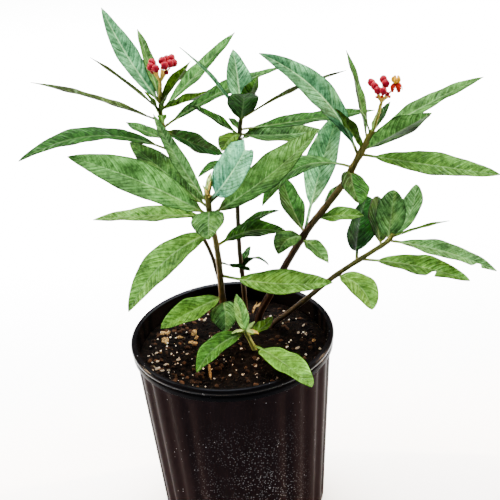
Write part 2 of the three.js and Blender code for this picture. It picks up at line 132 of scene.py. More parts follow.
def grown(obj, tree, sizes):
    """Runs a Geometry Nodes tree on an object with its sizes, and keeps the result."""
    run = obj.modifiers.new(tree.name, "NODES")
    run.node_group = tree
    for item in tree.interface.items_tree:
        if item.in_out == "INPUT" and item.name in sizes:
            run[item.identifier] = sizes[item.name]
    return settled(obj)


def smoothed(obj, crease=40):
    """Shades a mesh smooth, with sharp edges where it bends by more than the crease angle."""
    obj.data.shade_smooth()
    obj.data.set_sharp_from_angle(angle=math.radians(crease))
    return obj


def turned(profile, columns):
    """Corners and faces of a profile turned round Z, from its first point on the axis to its last."""
    corners = [(0, 0, profile[0][1]), (0, 0, profile[-1][1])]
    ways = [2 * math.pi * column / columns for column in range(columns)]
    for radius, height in profile[1:-1]:
        corners += [(radius * math.sin(way), -radius * math.cos(way), height) for way in ways]
    rows = len(profile) - 2
    faces = []
    for column in range(columns):
        after = (column + 1) % columns
        faces.append((0, 2 + after, 2 + column))
        for row in range(rows - 1):
            low = 2 + row * columns
            high = low + columns
            faces.append((low + column, low + after, high + after, high + column))
        last = 2 + (rows - 1) * columns
        faces.append((1, last + column, last + after))
    return corners, faces


def arc(middle, radius, start, end, steps):
    """Points of a circular arc in a profile, by angles in degrees."""
    across, up = middle
    angles = np.radians(np.linspace(start, end, steps))
    return [(across + radius * math.cos(angle), up + radius * math.sin(angle)) for angle in angles]


shoulder = POT_HEIGHT - BAND_HEIGHT
groove = POT_HEIGHT - BEAD_HEIGHT
slope = (SHOULDER_RADIUS - FOOT_RADIUS) / shoulder
band = RIM_RADIUS - BAND_SETBACK
inner_top = (RIM_RADIUS - RIM_WIDTH, POT_HEIGHT - EDGE_ROUND)
inner_soil = (FOOT_RADIUS + slope * SOIL_LEVEL - WALL, SOIL_LEVEL)
inner_foot = (FOOT_RADIUS + slope * FLOOR - WALL - FLUTE_DEPTH, FLOOR)

# The profile runs from the middle of the foot up the wall, over the lower ring with its rounded
# edges, the groove and the upper bead, and down the inner wall to the floor.
pot_profile = [(0, 0), (FOOT_RADIUS - 3.6, 0)]
pot_profile += arc((FOOT_RADIUS - FOOT_ROUND, FOOT_ROUND), FOOT_ROUND, -80, 0, 6)
wall_start = len(pot_profile)
wall_heights = np.linspace(4, shoulder - 0.5, WALL_ROWS)
pot_profile += [(FOOT_RADIUS + slope * height, height) for height in wall_heights]
wall_end = len(pot_profile)
pot_profile += [(band - 1.6, shoulder), (band - 0.5, shoulder + 0.2), (band, shoulder + 0.9)]
pot_profile += [(band, groove - 2.2), (band - 0.3, groove - 1.4)]
pot_profile += [(RIM_RADIUS - GROOVE_DEPTH, groove - 0.7), (RIM_RADIUS - GROOVE_DEPTH, groove - 0.2)]
pot_profile += [(RIM_RADIUS - 0.7, groove + 0.5)]
pot_profile += arc((RIM_RADIUS - 2.6, POT_HEIGHT - 2.7), BEAD_ROUND, -25, 100, 10)
pot_profile += [inner_top, (inner_top[0] - 0.4, POT_HEIGHT - 3)]
pot_profile += [inner_soil, inner_foot, (0, FLOOR)]
pot_columns = FLUTES * COLUMNS_PER_FLUTE
pot = object_of("pot", *turned(pot_profile, pot_columns))
wall_share = pot.data.attributes.new("wall", "FLOAT", "POINT")
heights = np.array([corner.co.z for corner in pot.data.vertices]) / MM
rows = (np.arange(len(heights)) - 2) // pot_columns + 1
fades = np.clip(np.minimum(heights - FLUTE_FOOT, shoulder - heights) / FLUTE_FADE, 0, 1)
wall_share.data.foreach_set("value", np.where((rows >= wall_start) & (rows < wall_end), fades, 0))

# The flutes are narrow grooves that follow the wall between flatter ribs.
flute_tree, given = tree_with("flutes", {"Count": "Float", "Depth": "Float", "Sharpness": "Float",
                                         "Material": "Material"})
place = add(flute_tree, "GeometryNodeInputPosition").outputs[0]
parts = add(flute_tree, "ShaderNodeSeparateXYZ", {0: place}).outputs
angle = add(flute_tree, "ShaderNodeMath", {0: parts["X"], 1: parts["Y"]}, operation="ARCTAN2")
shifted = add(flute_tree, "ShaderNodeMath", {0: angle.outputs[0], 1: math.pi / 2}, operation="ADD")
turns = add(flute_tree, "ShaderNodeMath", {0: shifted.outputs[0], 1: given["Count"]},
            operation="MULTIPLY")
swing = add(flute_tree, "ShaderNodeMath", {0: turns.outputs[0]}, operation="COSINE")
raised = add(flute_tree, "ShaderNodeMath", {0: swing.outputs[0], 1: 0.5, 2: 0.5}, operation="MULTIPLY_ADD")
shape = add(flute_tree, "ShaderNodeMath", {0: raised.outputs[0], 1: given["Sharpness"]}, operation="POWER")
share = add(flute_tree, "GeometryNodeInputNamedAttribute", {"Name": "wall"}, data_type="FLOAT")
faded = add(flute_tree, "ShaderNodeMath", {0: shape.outputs[0], 1: share.outputs[0]}, operation="MULTIPLY")
drawn = add(flute_tree, "ShaderNodeMath", {0: faded.outputs[0], 1: given["Depth"]}, operation="MULTIPLY")
flat = add(flute_tree, "ShaderNodeVectorMath", {0: place, 1: (-1, -1, 0)}, operation="MULTIPLY")
inward = add(flute_tree, "ShaderNodeVectorMath", {0: flat.outputs[0]}, operation="NORMALIZE")
offset = add(flute_tree, "ShaderNodeVectorMath", {0: inward.outputs[0], "Scale": drawn.outputs[0]},
             operation="SCALE")
pulled = add(flute_tree, "GeometryNodeSetPosition", {"Geometry": given["Geometry"],
                                                     "Offset": offset.outputs[0]})
whole = add(flute_tree, "GeometryNodeRealizeInstances", {0: pulled.outputs[0]})
coated = add(flute_tree, "GeometryNodeSetMaterial", {"Geometry": whole.outputs[0],
                                                     "Material": given["Material"]})
add(flute_tree, "NodeGroupOutput", {0: coated.outputs[0]})

# Black polyethylene, blow-moulded: near black with a warm cast, and scuffed nearly matt, with an orange
# peel that breaks what gloss is left. Grey specks of dust about a millimetre across lie here and there,
# and the splashes of watering leave many small ones low on the front.
polyethylene, tree = new_finish("black_polyethylene")
place = add(tree, "ShaderNodeTexCoord").outputs["Object"]
stretched = add(tree, "ShaderNodeMapping", {"Vector": place, "Scale": (1, 1, 0.25)})
streaks = add(tree, "ShaderNodeTexNoise", {"Vector": stretched.outputs[0], "Scale": 1 / (9 * MM),
                                           "Detail": 4})
axes = add(tree, "ShaderNodeSeparateXYZ", {0: place})
sideways, front, height = axes.outputs["X"], axes.outputs["Y"], axes.outputs["Z"]
specks = add(tree, "ShaderNodeTexVoronoi", {"Vector": place, "Scale": 1 / (4.2 * MM)}, feature="F1")
fine_specks = add(tree, "ShaderNodeTexVoronoi", {"Vector": place, "Scale": 1 / (1.9 * MM)}, feature="F1")
patches = add(tree, "ShaderNodeTexNoise", {"Vector": place, "Scale": 1 / (26 * MM), "Detail": 2})
speck = add(tree, "ShaderNodeMapRange", {"Value": specks.outputs["Distance"], "From Min": 0.13,
                                         "From Max": 0.05})
patch = add(tree, "ShaderNodeMapRange", {"Value": patches.outputs[0], "From Min": 0.52, "From Max": 0.62})
coarse = add(tree, "ShaderNodeMath", {0: speck.outputs[0], 1: patch.outputs[0]}, operation="MULTIPLY")
fine_speck = add(tree, "ShaderNodeMapRange", {"Value": fine_specks.outputs["Distance"], "From Min": 0.36,
                                              "From Max": 0.12})
splashed = add(tree, "ShaderNodeMapRange", {"Value": height, "From Min": 135 * MM, "From Max": 60 * MM,
                                            "To Max": 0.5})
drifted = add(tree, "ShaderNodeMapRange", {"Value": patches.outputs[0], "From Min": 0.3,
                                           "From Max": 0.5})
forward = add(tree, "ShaderNodeMath", {0: front, 1: 0.0}, operation="LESS_THAN")
off_middle = add(tree, "ShaderNodeMath", {0: sideways, 1: 7 * MM}, operation="SUBTRACT")
aside = add(tree, "ShaderNodeMath", {0: off_middle.outputs[0]}, operation="ABSOLUTE")
middling = add(tree, "ShaderNodeMapRange", {"Value": aside.outputs[0], "From Min": 50 * MM,
                                            "From Max": 18 * MM})
before = add(tree, "ShaderNodeMath", {0: middling.outputs[0], 1: forward.outputs[0]},
             operation="MULTIPLY")
facing = add(tree, "ShaderNodeMath", {0: splashed.outputs[0], 1: before.outputs[0]},
             operation="MULTIPLY")
clinging = add(tree, "ShaderNodeMath", {0: facing.outputs[0], 1: drifted.outputs[0]},
               operation="MULTIPLY")
powder = add(tree, "ShaderNodeMath", {0: fine_speck.outputs[0], 1: clinging.outputs[0]},
             operation="MULTIPLY")
dust = add(tree, "ShaderNodeMath", {0: coarse.outputs[0], 1: powder.outputs[0]}, operation="ADD")
shade = add(tree, "ShaderNodeMix", {0: streaks.outputs[0], 6: linear("#0a0708"), 7: linear("#140e10")},
            data_type="RGBA", name="moulded_tone")
dusty = add(tree, "ShaderNodeMix", {0: dust.outputs[0], 6: shade.outputs[2], 7: linear("#6f7073")},
            data_type="RGBA")
handled = add(tree, "ShaderNodeMapRange", {"Value": height, "From Min": (POT_HEIGHT - 18) * MM,
                                           "From Max": (POT_HEIGHT - 14) * MM, "To Min": 0.4,
                                           "To Max": 0.16})
worn = add(tree, "ShaderNodeMapRange", {"Value": streaks.outputs[0], "To Min": 0.2,
                                        "To Max": handled.outputs[0]})
peel = add(tree, "ShaderNodeTexNoise", {"Vector": place, "Scale": 1 / (2.5 * MM), "Detail": 3})
bump = add(tree, "ShaderNodeBump", {"Strength": 0.35, "Distance": 0.2 * MM, "Height": peel.outputs[0]})
skin = add(tree, "ShaderNodeBsdfPrincipled", {"Base Color": dusty.outputs[2], "Roughness": worn.outputs[0],
                                              "IOR": 1.5, "Specular IOR Level": 0.001,
                                              "Specular Tint": linear("#d9b58c"),
                                              "Normal": bump.outputs[0]})
add(tree, "ShaderNodeOutputMaterial", {"Surface": skin.outputs[0]})

grown(pot, flute_tree, {"Count": FLUTES, "Depth": FLUTE_DEPTH * MM, "Sharpness": FLUTE_SHARPNESS,
                        "Material": polyethylene})

# The rim comes out of the mould thicker and glossier than the wall, and shows thin cool lines of light.
# It and the inner wall are painted blacker than the outer wall: a painted shade.
glossy_shaded_rim = polyethylene.copy()
glossy_shaded_rim.name = "black_polyethylene_rim_shaded"
gloss = next(node for node in glossy_shaded_rim.node_tree.nodes if node.type == "BSDF_PRINCIPLED")
gloss.inputs["Specular IOR Level"].default_value = 0.02
gloss.inputs["Specular Tint"].default_value = linear("#c4d4ea")
shaded_tone = glossy_shaded_rim.node_tree.nodes["moulded_tone"]
shaded_tone.inputs[6].default_value = linear("#030303")
shaded_tone.inputs[7].default_value = linear("#060506")
pot.data.materials.append(glossy_shaded_rim)
# Painted shade: the rim and the inner wall above the floor take the blacker copy.
for face in pot.data.polygons:
    inside = face.normal.x * face.center.x + face.normal.y * face.center.y < 0
    if face.center.z > shoulder * MM or (inside and face.center.z > FLOOR * MM):
        face.material_index = 1

# The drain holes are cut with six short rods that pass through the floor.
rod = turned([(0, -2), (DRAIN_RADIUS, -2), (DRAIN_RADIUS, FLOOR + 3), (0, FLOOR + 3)], 24)
drill_corners = []
drill_faces = []
for hole in range(DRAIN_HOLES):
    heading = 2 * math.pi * (hole + 0.5) / DRAIN_HOLES
    across, deep = DRAIN_CIRCLE * math.cos(heading), DRAIN_CIRCLE * math.sin(heading)
    drill_faces += [tuple(len(drill_corners) + at for at in face) for face in rod[1]]
    drill_corners += [(x + across, y + deep, height) for x, y, height in rod[0]]
drill = object_of("drill", drill_corners, drill_faces)
cut = pot.modifiers.new("drain_holes", "BOOLEAN")
cut.object = drill
cut.solver = "EXACT"
settled(pot)
bpy.data.objects.remove(drill)
smoothed(pot, 35)
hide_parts("nursery_pot")
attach(pot, "root")


# Potting mix.
# Composted bark and peat with perlite, watered in and settled 16 mm below the rim. It is nearly black
# when moist, with white perlite grains and a few tan chips of pine bark lying on top.
SOIL_GAP = 0.3
SOIL_RINGS = 75
SOIL_COLUMNS = 200
SWELL_HEIGHT = 0.8
SWELL_ACROSS = 17
SWELL_DEEP = 14
SWELL_SLANTED = 9
CRUMB_HEIGHT = 1.5
CRUMB_WIDTH = 7
soil_radius = inner_soil[0] - SOIL_GAP


def soil_height(x, y):
    """The uneven surface of the mix: broad swells and crumbs of a few millimetres."""
    swell = math.sin(x / SWELL_ACROSS + 1) * math.cos(y / SWELL_DEEP)
    swell += 0.5 * math.sin((x + y) / SWELL_SLANTED)
    crumb = noise.fractal(Vector((x / CRUMB_WIDTH, y / CRUMB_WIDTH, 3)), 0.7, 2.1, 4)
    return SOIL_LEVEL + SWELL_HEIGHT * swell + CRUMB_HEIGHT * crumb


rings = np.linspace(0, 1, SOIL_RINGS + 1)[1:]
soil_profile = [(0, FLOOR + SOIL_GAP), (inner_foot[0] - SOIL_GAP, FLOOR + SOIL_GAP)]
soil_profile += [(soil_radius * ring, SOIL_LEVEL) for ring in rings[::-1]]
soil_corners, soil_faces = turned(soil_profile + [(0, SOIL_LEVEL)], SOIL_COLUMNS)
soil_corners = [(x, y, soil_height(x, y)) if z == SOIL_LEVEL and math.hypot(x, y) < soil_radius - 0.5
                else (x, y, z) for x, y, z in soil_corners]
soil = object_of("mix", soil_corners, soil_faces)

# Moist bark and peat: near black with brown fibres, rough, and a crumb of about a millimetre that the
# bump carries because it is too fine to model.
peat, tree = new_finish("moist_bark_and_peat")
place = add(tree, "ShaderNodeTexCoord").outputs["Object"]
fibres = add(tree, "ShaderNodeTexNoise", {"Vector": place, "Scale": 1 / (3 * MM), "Detail": 6,
                                          "Roughness": 0.7})
tint = add(tree, "ShaderNodeMapRange", {"Value": fibres.outputs[0], "From Min": 0.42, "From Max": 0.72})
brown = add(tree, "ShaderNodeMix", {0: tint.outputs[0], 6: linear("#010101"), 7: linear("#0d0704")},
            data_type="RGBA")
bump = add(tree, "ShaderNodeBump", {"Strength": 0.9, "Distance": 0.8 * MM, "Height": fibres.outputs[0]})
crumbly = add(tree, "ShaderNodeBsdfPrincipled", {"Base Color": brown.outputs[2], "Roughness": 0.9,
                                                 "Specular IOR Level": 0.02, "Normal": bump.outputs[0]})
add(tree, "ShaderNodeOutputMaterial", {"Surface": crumbly.outputs[0]})
soil.data.materials.append(peat)
smoothed(soil, 60)
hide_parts("potting_mix")
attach(soil, "root")

# What lies on the mix is strewn over its top by one tree, thicker to the left and the back, and each
# grain is bent out of round by its place.
strewn_tree, given = tree_with("strewn_grains", {"Per square metre": "Float", "Smallest": "Float",
                                                 "Largest": "Float", "Flatness": "Float",
                                                 "Roughness": "Float", "Clumping": "Float",
                                                 "Seed": "Int", "Material": "Material"})
place = add(strewn_tree, "GeometryNodeInputPosition").outputs[0]
parts = add(strewn_tree, "ShaderNodeSeparateXYZ", {0: place})
on_top = add(strewn_tree, "FunctionNodeCompare", {0: parts.outputs["Z"], 1: (SOIL_LEVEL - 6) * MM},
             data_type="FLOAT", operation="GREATER_THAN")
drifts = add(strewn_tree, "ShaderNodeTexNoise", {"Vector": place, "Scale": 1 / (16 * MM), "Detail": 2})
leaning = add(strewn_tree, "ShaderNodeMath", {0: parts.outputs["X"], 1: -1.5, 2: drifts.outputs[0]},
              operation="MULTIPLY_ADD")
backward = add(strewn_tree, "ShaderNodeMath", {0: parts.outputs["Y"], 1: 1.1, 2: leaning.outputs[0]},
               operation="MULTIPLY_ADD")
gathered = add(strewn_tree, "ShaderNodeMapRange", {"Value": backward.outputs[0], "From Min": 0.45,
                                                   "From Max": 0.62, "To Min": 0.08, "To Max": 2.2})
evenness = add(strewn_tree, "ShaderNodeMath", {0: 1.0, 1: given["Clumping"]}, operation="SUBTRACT")
spread_share = add(strewn_tree, "ShaderNodeMath", {0: gathered.outputs[0], 1: given["Clumping"],
                                                   2: evenness.outputs[0]}, operation="MULTIPLY_ADD")
density = add(strewn_tree, "ShaderNodeMath", {0: given["Per square metre"], 1: spread_share.outputs[0]},
              operation="MULTIPLY")
points = add(strewn_tree, "GeometryNodeDistributePointsOnFaces",
             {"Mesh": given["Geometry"], "Selection": on_top.outputs[0],
              "Density": density.outputs[0], "Seed": given["Seed"]})
ball = add(strewn_tree, "GeometryNodeMeshIcoSphere", {"Radius": 1.0, "Subdivisions": 2})
size = add(strewn_tree, "FunctionNodeRandomValue", {2: given["Smallest"], 3: given["Largest"],
                                                    "Seed": given["Seed"]}, data_type="FLOAT")
low = add(strewn_tree, "ShaderNodeCombineXYZ", {0: 0.6, 1: 0.5, 2: given["Flatness"]})
aspect = add(strewn_tree, "FunctionNodeRandomValue", {0: low.outputs[0], 1: (1.3, 0.9, 0.7),
                                                      "Seed": given["Seed"]}, data_type="FLOAT_VECTOR")
scale = add(strewn_tree, "ShaderNodeVectorMath", {0: aspect.outputs[0], "Scale": size.outputs[1]},
            operation="SCALE")
tilt = add(strewn_tree, "FunctionNodeRandomValue", {0: (-0.5, -0.5, 0), 1: (0.5, 0.5, 6.28),
                                                    "Seed": given["Seed"]}, data_type="FLOAT_VECTOR")
laid = add(strewn_tree, "GeometryNodeInstanceOnPoints",
           {"Points": points.outputs["Points"], "Instance": ball.outputs["Mesh"],
            "Rotation": tilt.outputs[0], "Scale": scale.outputs[0]})
lot = add(strewn_tree, "FunctionNodeRandomValue", {"Seed": given["Seed"]}, data_type="FLOAT")
marked = add(strewn_tree, "GeometryNodeStoreNamedAttribute",
             {"Geometry": laid.outputs[0], "Name": "grain", "Value": lot.outputs[1]},
             data_type="FLOAT", domain="INSTANCE")
whole = add(strewn_tree, "GeometryNodeRealizeInstances", {0: marked.outputs[0]})
crooked = add(strewn_tree, "ShaderNodeTexNoise", {"Vector": place, "Scale": 1 / (2.2 * MM), "Detail": 1})
centred = add(strewn_tree, "ShaderNodeVectorMath", {0: crooked.outputs["Color"], 1: (0.5, 0.5, 0.5)},
              operation="SUBTRACT")
bent = add(strewn_tree, "ShaderNodeVectorMath", {0: centred.outputs[0], "Scale": given["Roughness"]},
           operation="SCALE")
knocked = add(strewn_tree, "GeometryNodeSetPosition", {"Geometry": whole.outputs[0],
                                                       "Offset": bent.outputs[0]})
coated = add(strewn_tree, "GeometryNodeSetMaterial", {"Geometry": knocked.outputs[0],
                                                      "Material": given["Material"]})
add(strewn_tree, "NodeGroupOutput", {0: coated.outputs[0]})


def strewn(name, sizes, finish, crease=180):
    """Grains of one kind over the mix, kept inside the wall of the pot."""
    reach = 0.965 * soil_radius
    bed = object_of(name, *turned([(0, SOIL_LEVEL - 3)]
                                  + [(reach * share, SOIL_LEVEL) for share in rings[::5]]
                                  + [(0, SOIL_LEVEL - 3.5)], 60))
    for corner in bed.data.vertices:
        if corner.co.z / MM > SOIL_LEVEL - 1:
            corner.co.z = soil_height(corner.co.x / MM, corner.co.y / MM) * MM
    grown(bed, strewn_tree, {**sizes, "Material": finish})
    smoothed(bed, crease)
    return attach(bed, "root")


# Composted bark in crumbs of one to five millimetres: nearly black when moist, and a few split ones
# brown, because only the driest of them take the lighter colour.
bark, tree = new_finish("composted_bark")
place = add(tree, "ShaderNodeTexCoord").outputs["Object"]
lot = add(tree, "ShaderNodeAttribute", attribute_name="grain")
grain = add(tree, "ShaderNodeTexNoise", {"Vector": place, "Scale": 1 / (1.5 * MM), "Detail": 4})
depth = add(tree, "ShaderNodeMath", {0: lot.outputs["Fac"], 1: 10.0}, operation="POWER")
brown = add(tree, "ShaderNodeMix", {0: depth.outputs[0], 6: linear("#020101"), 7: linear("#3a2719")},
            data_type="RGBA")
bump = add(tree, "ShaderNodeBump", {"Strength": 0.7, "Distance": 0.4 * MM, "Height": grain.outputs[0]})
woody = add(tree, "ShaderNodeBsdfPrincipled", {"Base Color": brown.outputs[2], "Roughness": 0.8,
                                               "Specular IOR Level": 0.03, "Normal": bump.outputs[0]})
add(tree, "ShaderNodeOutputMaterial", {"Surface": woody.outputs[0]})
strewn("bark_crumbs", {"Per square metre": 62000.0, "Smallest": 0.7 * MM, "Largest": 2.4 * MM,
                       "Flatness": 0.3, "Roughness": 1.6 * MM, "Clumping": 0.8, "Seed": 4}, bark, 50)

# Perlite: popped volcanic glass in rounded chalky grains of one to two millimetres, cream where the
# peat has stained them.
perlite, tree = new_finish("perlite")
place = add(tree, "ShaderNodeTexCoord").outputs["Object"]
lot = add(tree, "ShaderNodeAttribute", attribute_name="grain")
pores = add(tree, "ShaderNodeTexNoise", {"Vector": place, "Scale": 1 / (0.8 * MM), "Detail": 3})
cream = add(tree, "ShaderNodeMix", {0: lot.outputs["Fac"], 6: linear("#6e5f49"), 7: linear("#b9ad9a")},
            data_type="RGBA")
bump = add(tree, "ShaderNodeBump", {"Strength": 0.5, "Distance": 0.3 * MM, "Height": pores.outputs[0]})
chalky = add(tree, "ShaderNodeBsdfPrincipled", {"Base Color": cream.outputs[2], "Roughness": 0.75,
                                                "Normal": bump.outputs[0]})
add(tree, "ShaderNodeOutputMaterial", {"Surface": chalky.outputs[0]})
strewn("perlite_grains", {"Per square metre": 12000.0, "Smallest": 0.35 * MM, "Largest": 1.2 * MM,
                          "Flatness": 0.6, "Roughness": 0.6 * MM, "Clumping": 1.0, "Seed": 11}, perlite)

# Loose chips that lie on the mix, mostly at the left: cream ones of split bark and perlite, a few
# larger tan ones, and three dry twigs. Each is a small bent slab half sunk in the crumbs. Rows: x, y,
# half length, turn, and for a twig its breadth as a share of the half length.
CHIP_BREADTH = 0.55
CHIP_THICKNESS = 0.5
CHIP_RINGS = 7
CHIP_SIDES = 8
CREAM_CHIPS = [(-63, 3, 1.6, 20), (-62, -9, 2.2, 75), (-65, -16, 1.8, 140), (-55, -15, 2.4, 10),
               (-45, -8, 2.6, 60), (-48, -15, 1.6, 120), (-62, -20, 2.6, 35), (-66, -23, 1.8, 100),
               (-58, -23, 2.2, 160), (-53, -24, 1.7, 50), (-44, 31, 1.5, 5), (-23, 47, 2.0, 80),
               (52, -5, 2.2, 30), (70, -10, 1.8, 110), (19, -18, 1.6, 15), (17, -26, 1.5, 60),
               (17, -37, 1.4, 0), (6, -38, 1.4, 90), (59, 26, 1.5, 40), (60, 13, 1.3, 130),
               (54, 16, 1.6, 70), (33, -47, 1.3, 20), (-38, -2, 1.6, 45), (-33, -20, 1.2, 150)]
TAN_CHIPS = [(-56, 31, 5.2, 30), (-56, 20, 5.2, 100), (-32, 28, 4.2, 60), (-44, 23, 3.2, 10),
             (-33, 15, 4.4, 145), (-30, 21, 2.4, 80), (38, 40, 2.6, 20), (66, 4, 2.4, 70),
             (-20, -29, 13, 94, 0.08), (25, 67, 13, 52, 0.07), (20, 62, 8, 75, 0.09)]


def lofted(rings):
    """Corners and faces of a closed skin through rings of equal count."""
    count = len(rings[0])
    corners = [corner for ring in rings for corner in ring]
    faces = [tuple(range(count))[::-1], tuple(range(len(corners) - count, len(corners)))]
    for row in range(len(rings) - 1):
        low = row * count
        for side in range(count):
            after = (side + 1) % count
            faces.append((low + side, low + after, low + count + after, low + count + side))
    return corners, faces


def chip(x, y, half, turn, breadth=CHIP_BREADTH):
    """A flat bent chip with crooked edges, lying on the mix."""
    ahead = np.array((math.cos(math.radians(turn)), math.sin(math.radians(turn))))
    aside = np.array((-ahead[1], ahead[0]))
    rings = []
    for along in np.linspace(-1, 1, CHIP_RINGS):
        width = half * breadth * (1 - abs(along) ** 2.5) + 0.15
        wander = noise.noise(Vector((x, y, 2 * along))) * half * 0.7 * breadth
        middle = (x, y) + along * half * ahead
        bed = soil_height(*middle) + 0.5
        ring = []
        for side in range(CHIP_SIDES):
            around = 2 * math.pi * side / CHIP_SIDES
            place = middle + (math.cos(around) * width + wander) * aside
            crook = 0.45 * breadth * half * noise.noise(Vector((x + side, y, along * 3)))
            ring.append((*place, bed + math.sin(around) * width * CHIP_THICKNESS + crook))
        rings.append(ring)
    return lofted(rings)


def laid_chips(name, rows, finish):
    """All chips of one kind as one piece."""
    corners, faces = [], []
    for row in rows:
        chip_corners, chip_faces = chip(*row)
        faces += [tuple(len(corners) + at for at in face) for face in chip_faces]
        corners += chip_corners
    made = object_of(name, corners, faces)
    made.data.materials.append(finish)
    smoothed(made, 60)
    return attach(made, "root")


# Split pine bark, dry on its broken face: tan with darker grain, matt.
split_bark, tree = new_finish("split_pine_bark")
place = add(tree, "ShaderNodeTexCoord").outputs["Object"]
grain = add(tree, "ShaderNodeTexNoise", {"Vector": place, "Scale": 1 / (1.6 * MM), "Detail": 4})
split = add(tree, "ShaderNodeMapRange", {"Value": grain.outputs[0], "From Min": 0.35, "From Max": 0.65})
tan = add(tree, "ShaderNodeMix", {0: split.outputs[0], 6: linear("#2a1c0e"), 7: linear("#866a3e")},
          data_type="RGBA")
dry = add(tree, "ShaderNodeBsdfPrincipled", {"Base Color": tan.outputs[2], "Roughness": 0.8,
                                             "Specular IOR Level": 0.05})
add(tree, "ShaderNodeOutputMaterial", {"Surface": dry.outputs[0]})
laid_chips("cream_chips", CREAM_CHIPS, perlite)
laid_chips("tan_chips", TAN_CHIPS, split_bark)


# Leafy stems.
# Five stems and a basal shoot, green where young and brown and woody low down, with smooth lance-shaped
# leaves. A leaf is a thin blade folded a little along its midrib, waved at its edge and net-veined.
ROOT_DEPTH = 24
STEM_SIDES = 14
STEM_RINGS = 90
STEM_STOPS = 401
JOINT_SWELL = 0.12
JOINT_REACH = 1.8
MOST_JOINTS = 1.5
BARK_SWELL = 0.05
BARK_WIDTH = 6
EDGE_THICKNESS = 0.4
MIDRIB_THICKNESS = 1.2
MIDRIB_THINNING = 0.7
MIDRIB_REACH = 1.1
PETIOLE_HALF_WIDTH = 1.4
PETIOLE_REACH = 0.3
TIP_HALF_WIDTH = 0.3
WIDEST_POWER = 0.92
FOLD = 16
FOLD_ROUND = 0.06
HALF_ARCH = 0.06
WAVE_HEIGHT = 0.9
WAVES = 2
CALM_WIDTH = 18
RIPPLE_HEIGHT = 0.35
RIPPLE_REACH = 3.2
VEIN_SPACING = 6.0
VEIN_SLANT = 0.85
VEIN_BEND = 0.05
VEIN_STAGGER = 0.4
VEIN_WIDTH = 0.16
VEIN_DEPTH = 0.12
BLADE_COLUMNS = 17
ROW_SPACING = 1.3
FEWEST_ROWS = 22
MOST_ROWS = 76
UNDERSIDE_PALENESS = 1.2

# Leaf tones: the colour of the blade, how plainly its midrib shows, and how much darker or paler its
# edge is. The silvery, sheen and frosted tones are greyer and bluer greens that carry a painted sheen.
TONES = {
    "silvery": ("#34613e", 0.95, 0.45),
    "sheen": ("#2b5334", 0.7, 0.45),
    "frosted": ("#478c6c", 1.0, 0.5),
    "faded": ("#50875a", 0.6, 0.5),
    "pale": ("#42692f", 0.4, 0.45),
    "lit": ("#5b8c43", 0.3, 1.5),
    "bright": ("#385b1d", 0.42, 0.45),
    "fresh": ("#365d28", 0.45, 0.4),
    "cool": ("#315127", 0.35, 0.4),
    "grass": ("#2f4f1a", 0.35, 0.4),
    "rimmed": ("#315216", 0.3, 2.2),
    "soft": ("#28451b", 0.36, 0.4),
    "glossy": ("#21410f", 0.45, 2.2),
    "mid": ("#1b3813", 0.25, 0.4),
    "dark": ("#112b0a", 0.2, 0.4),
    "deep": ("#092001", 0.12, 0.4),
    "black": ("#021801", 0.05, 0.4),
    "shaded": ("#012002", 0.1, 0.4),
    "olive": ("#243c02", 0.25, 0.5),
    "dusky": ("#151e05", 0.2, 0.5),
    "young": ("#2a430c", 0.2, 0.5),
    "stub": ("#b39c4c", 0.1, 0.8),
    "tender": ("#7a9450", 0.3, 1.4),
}
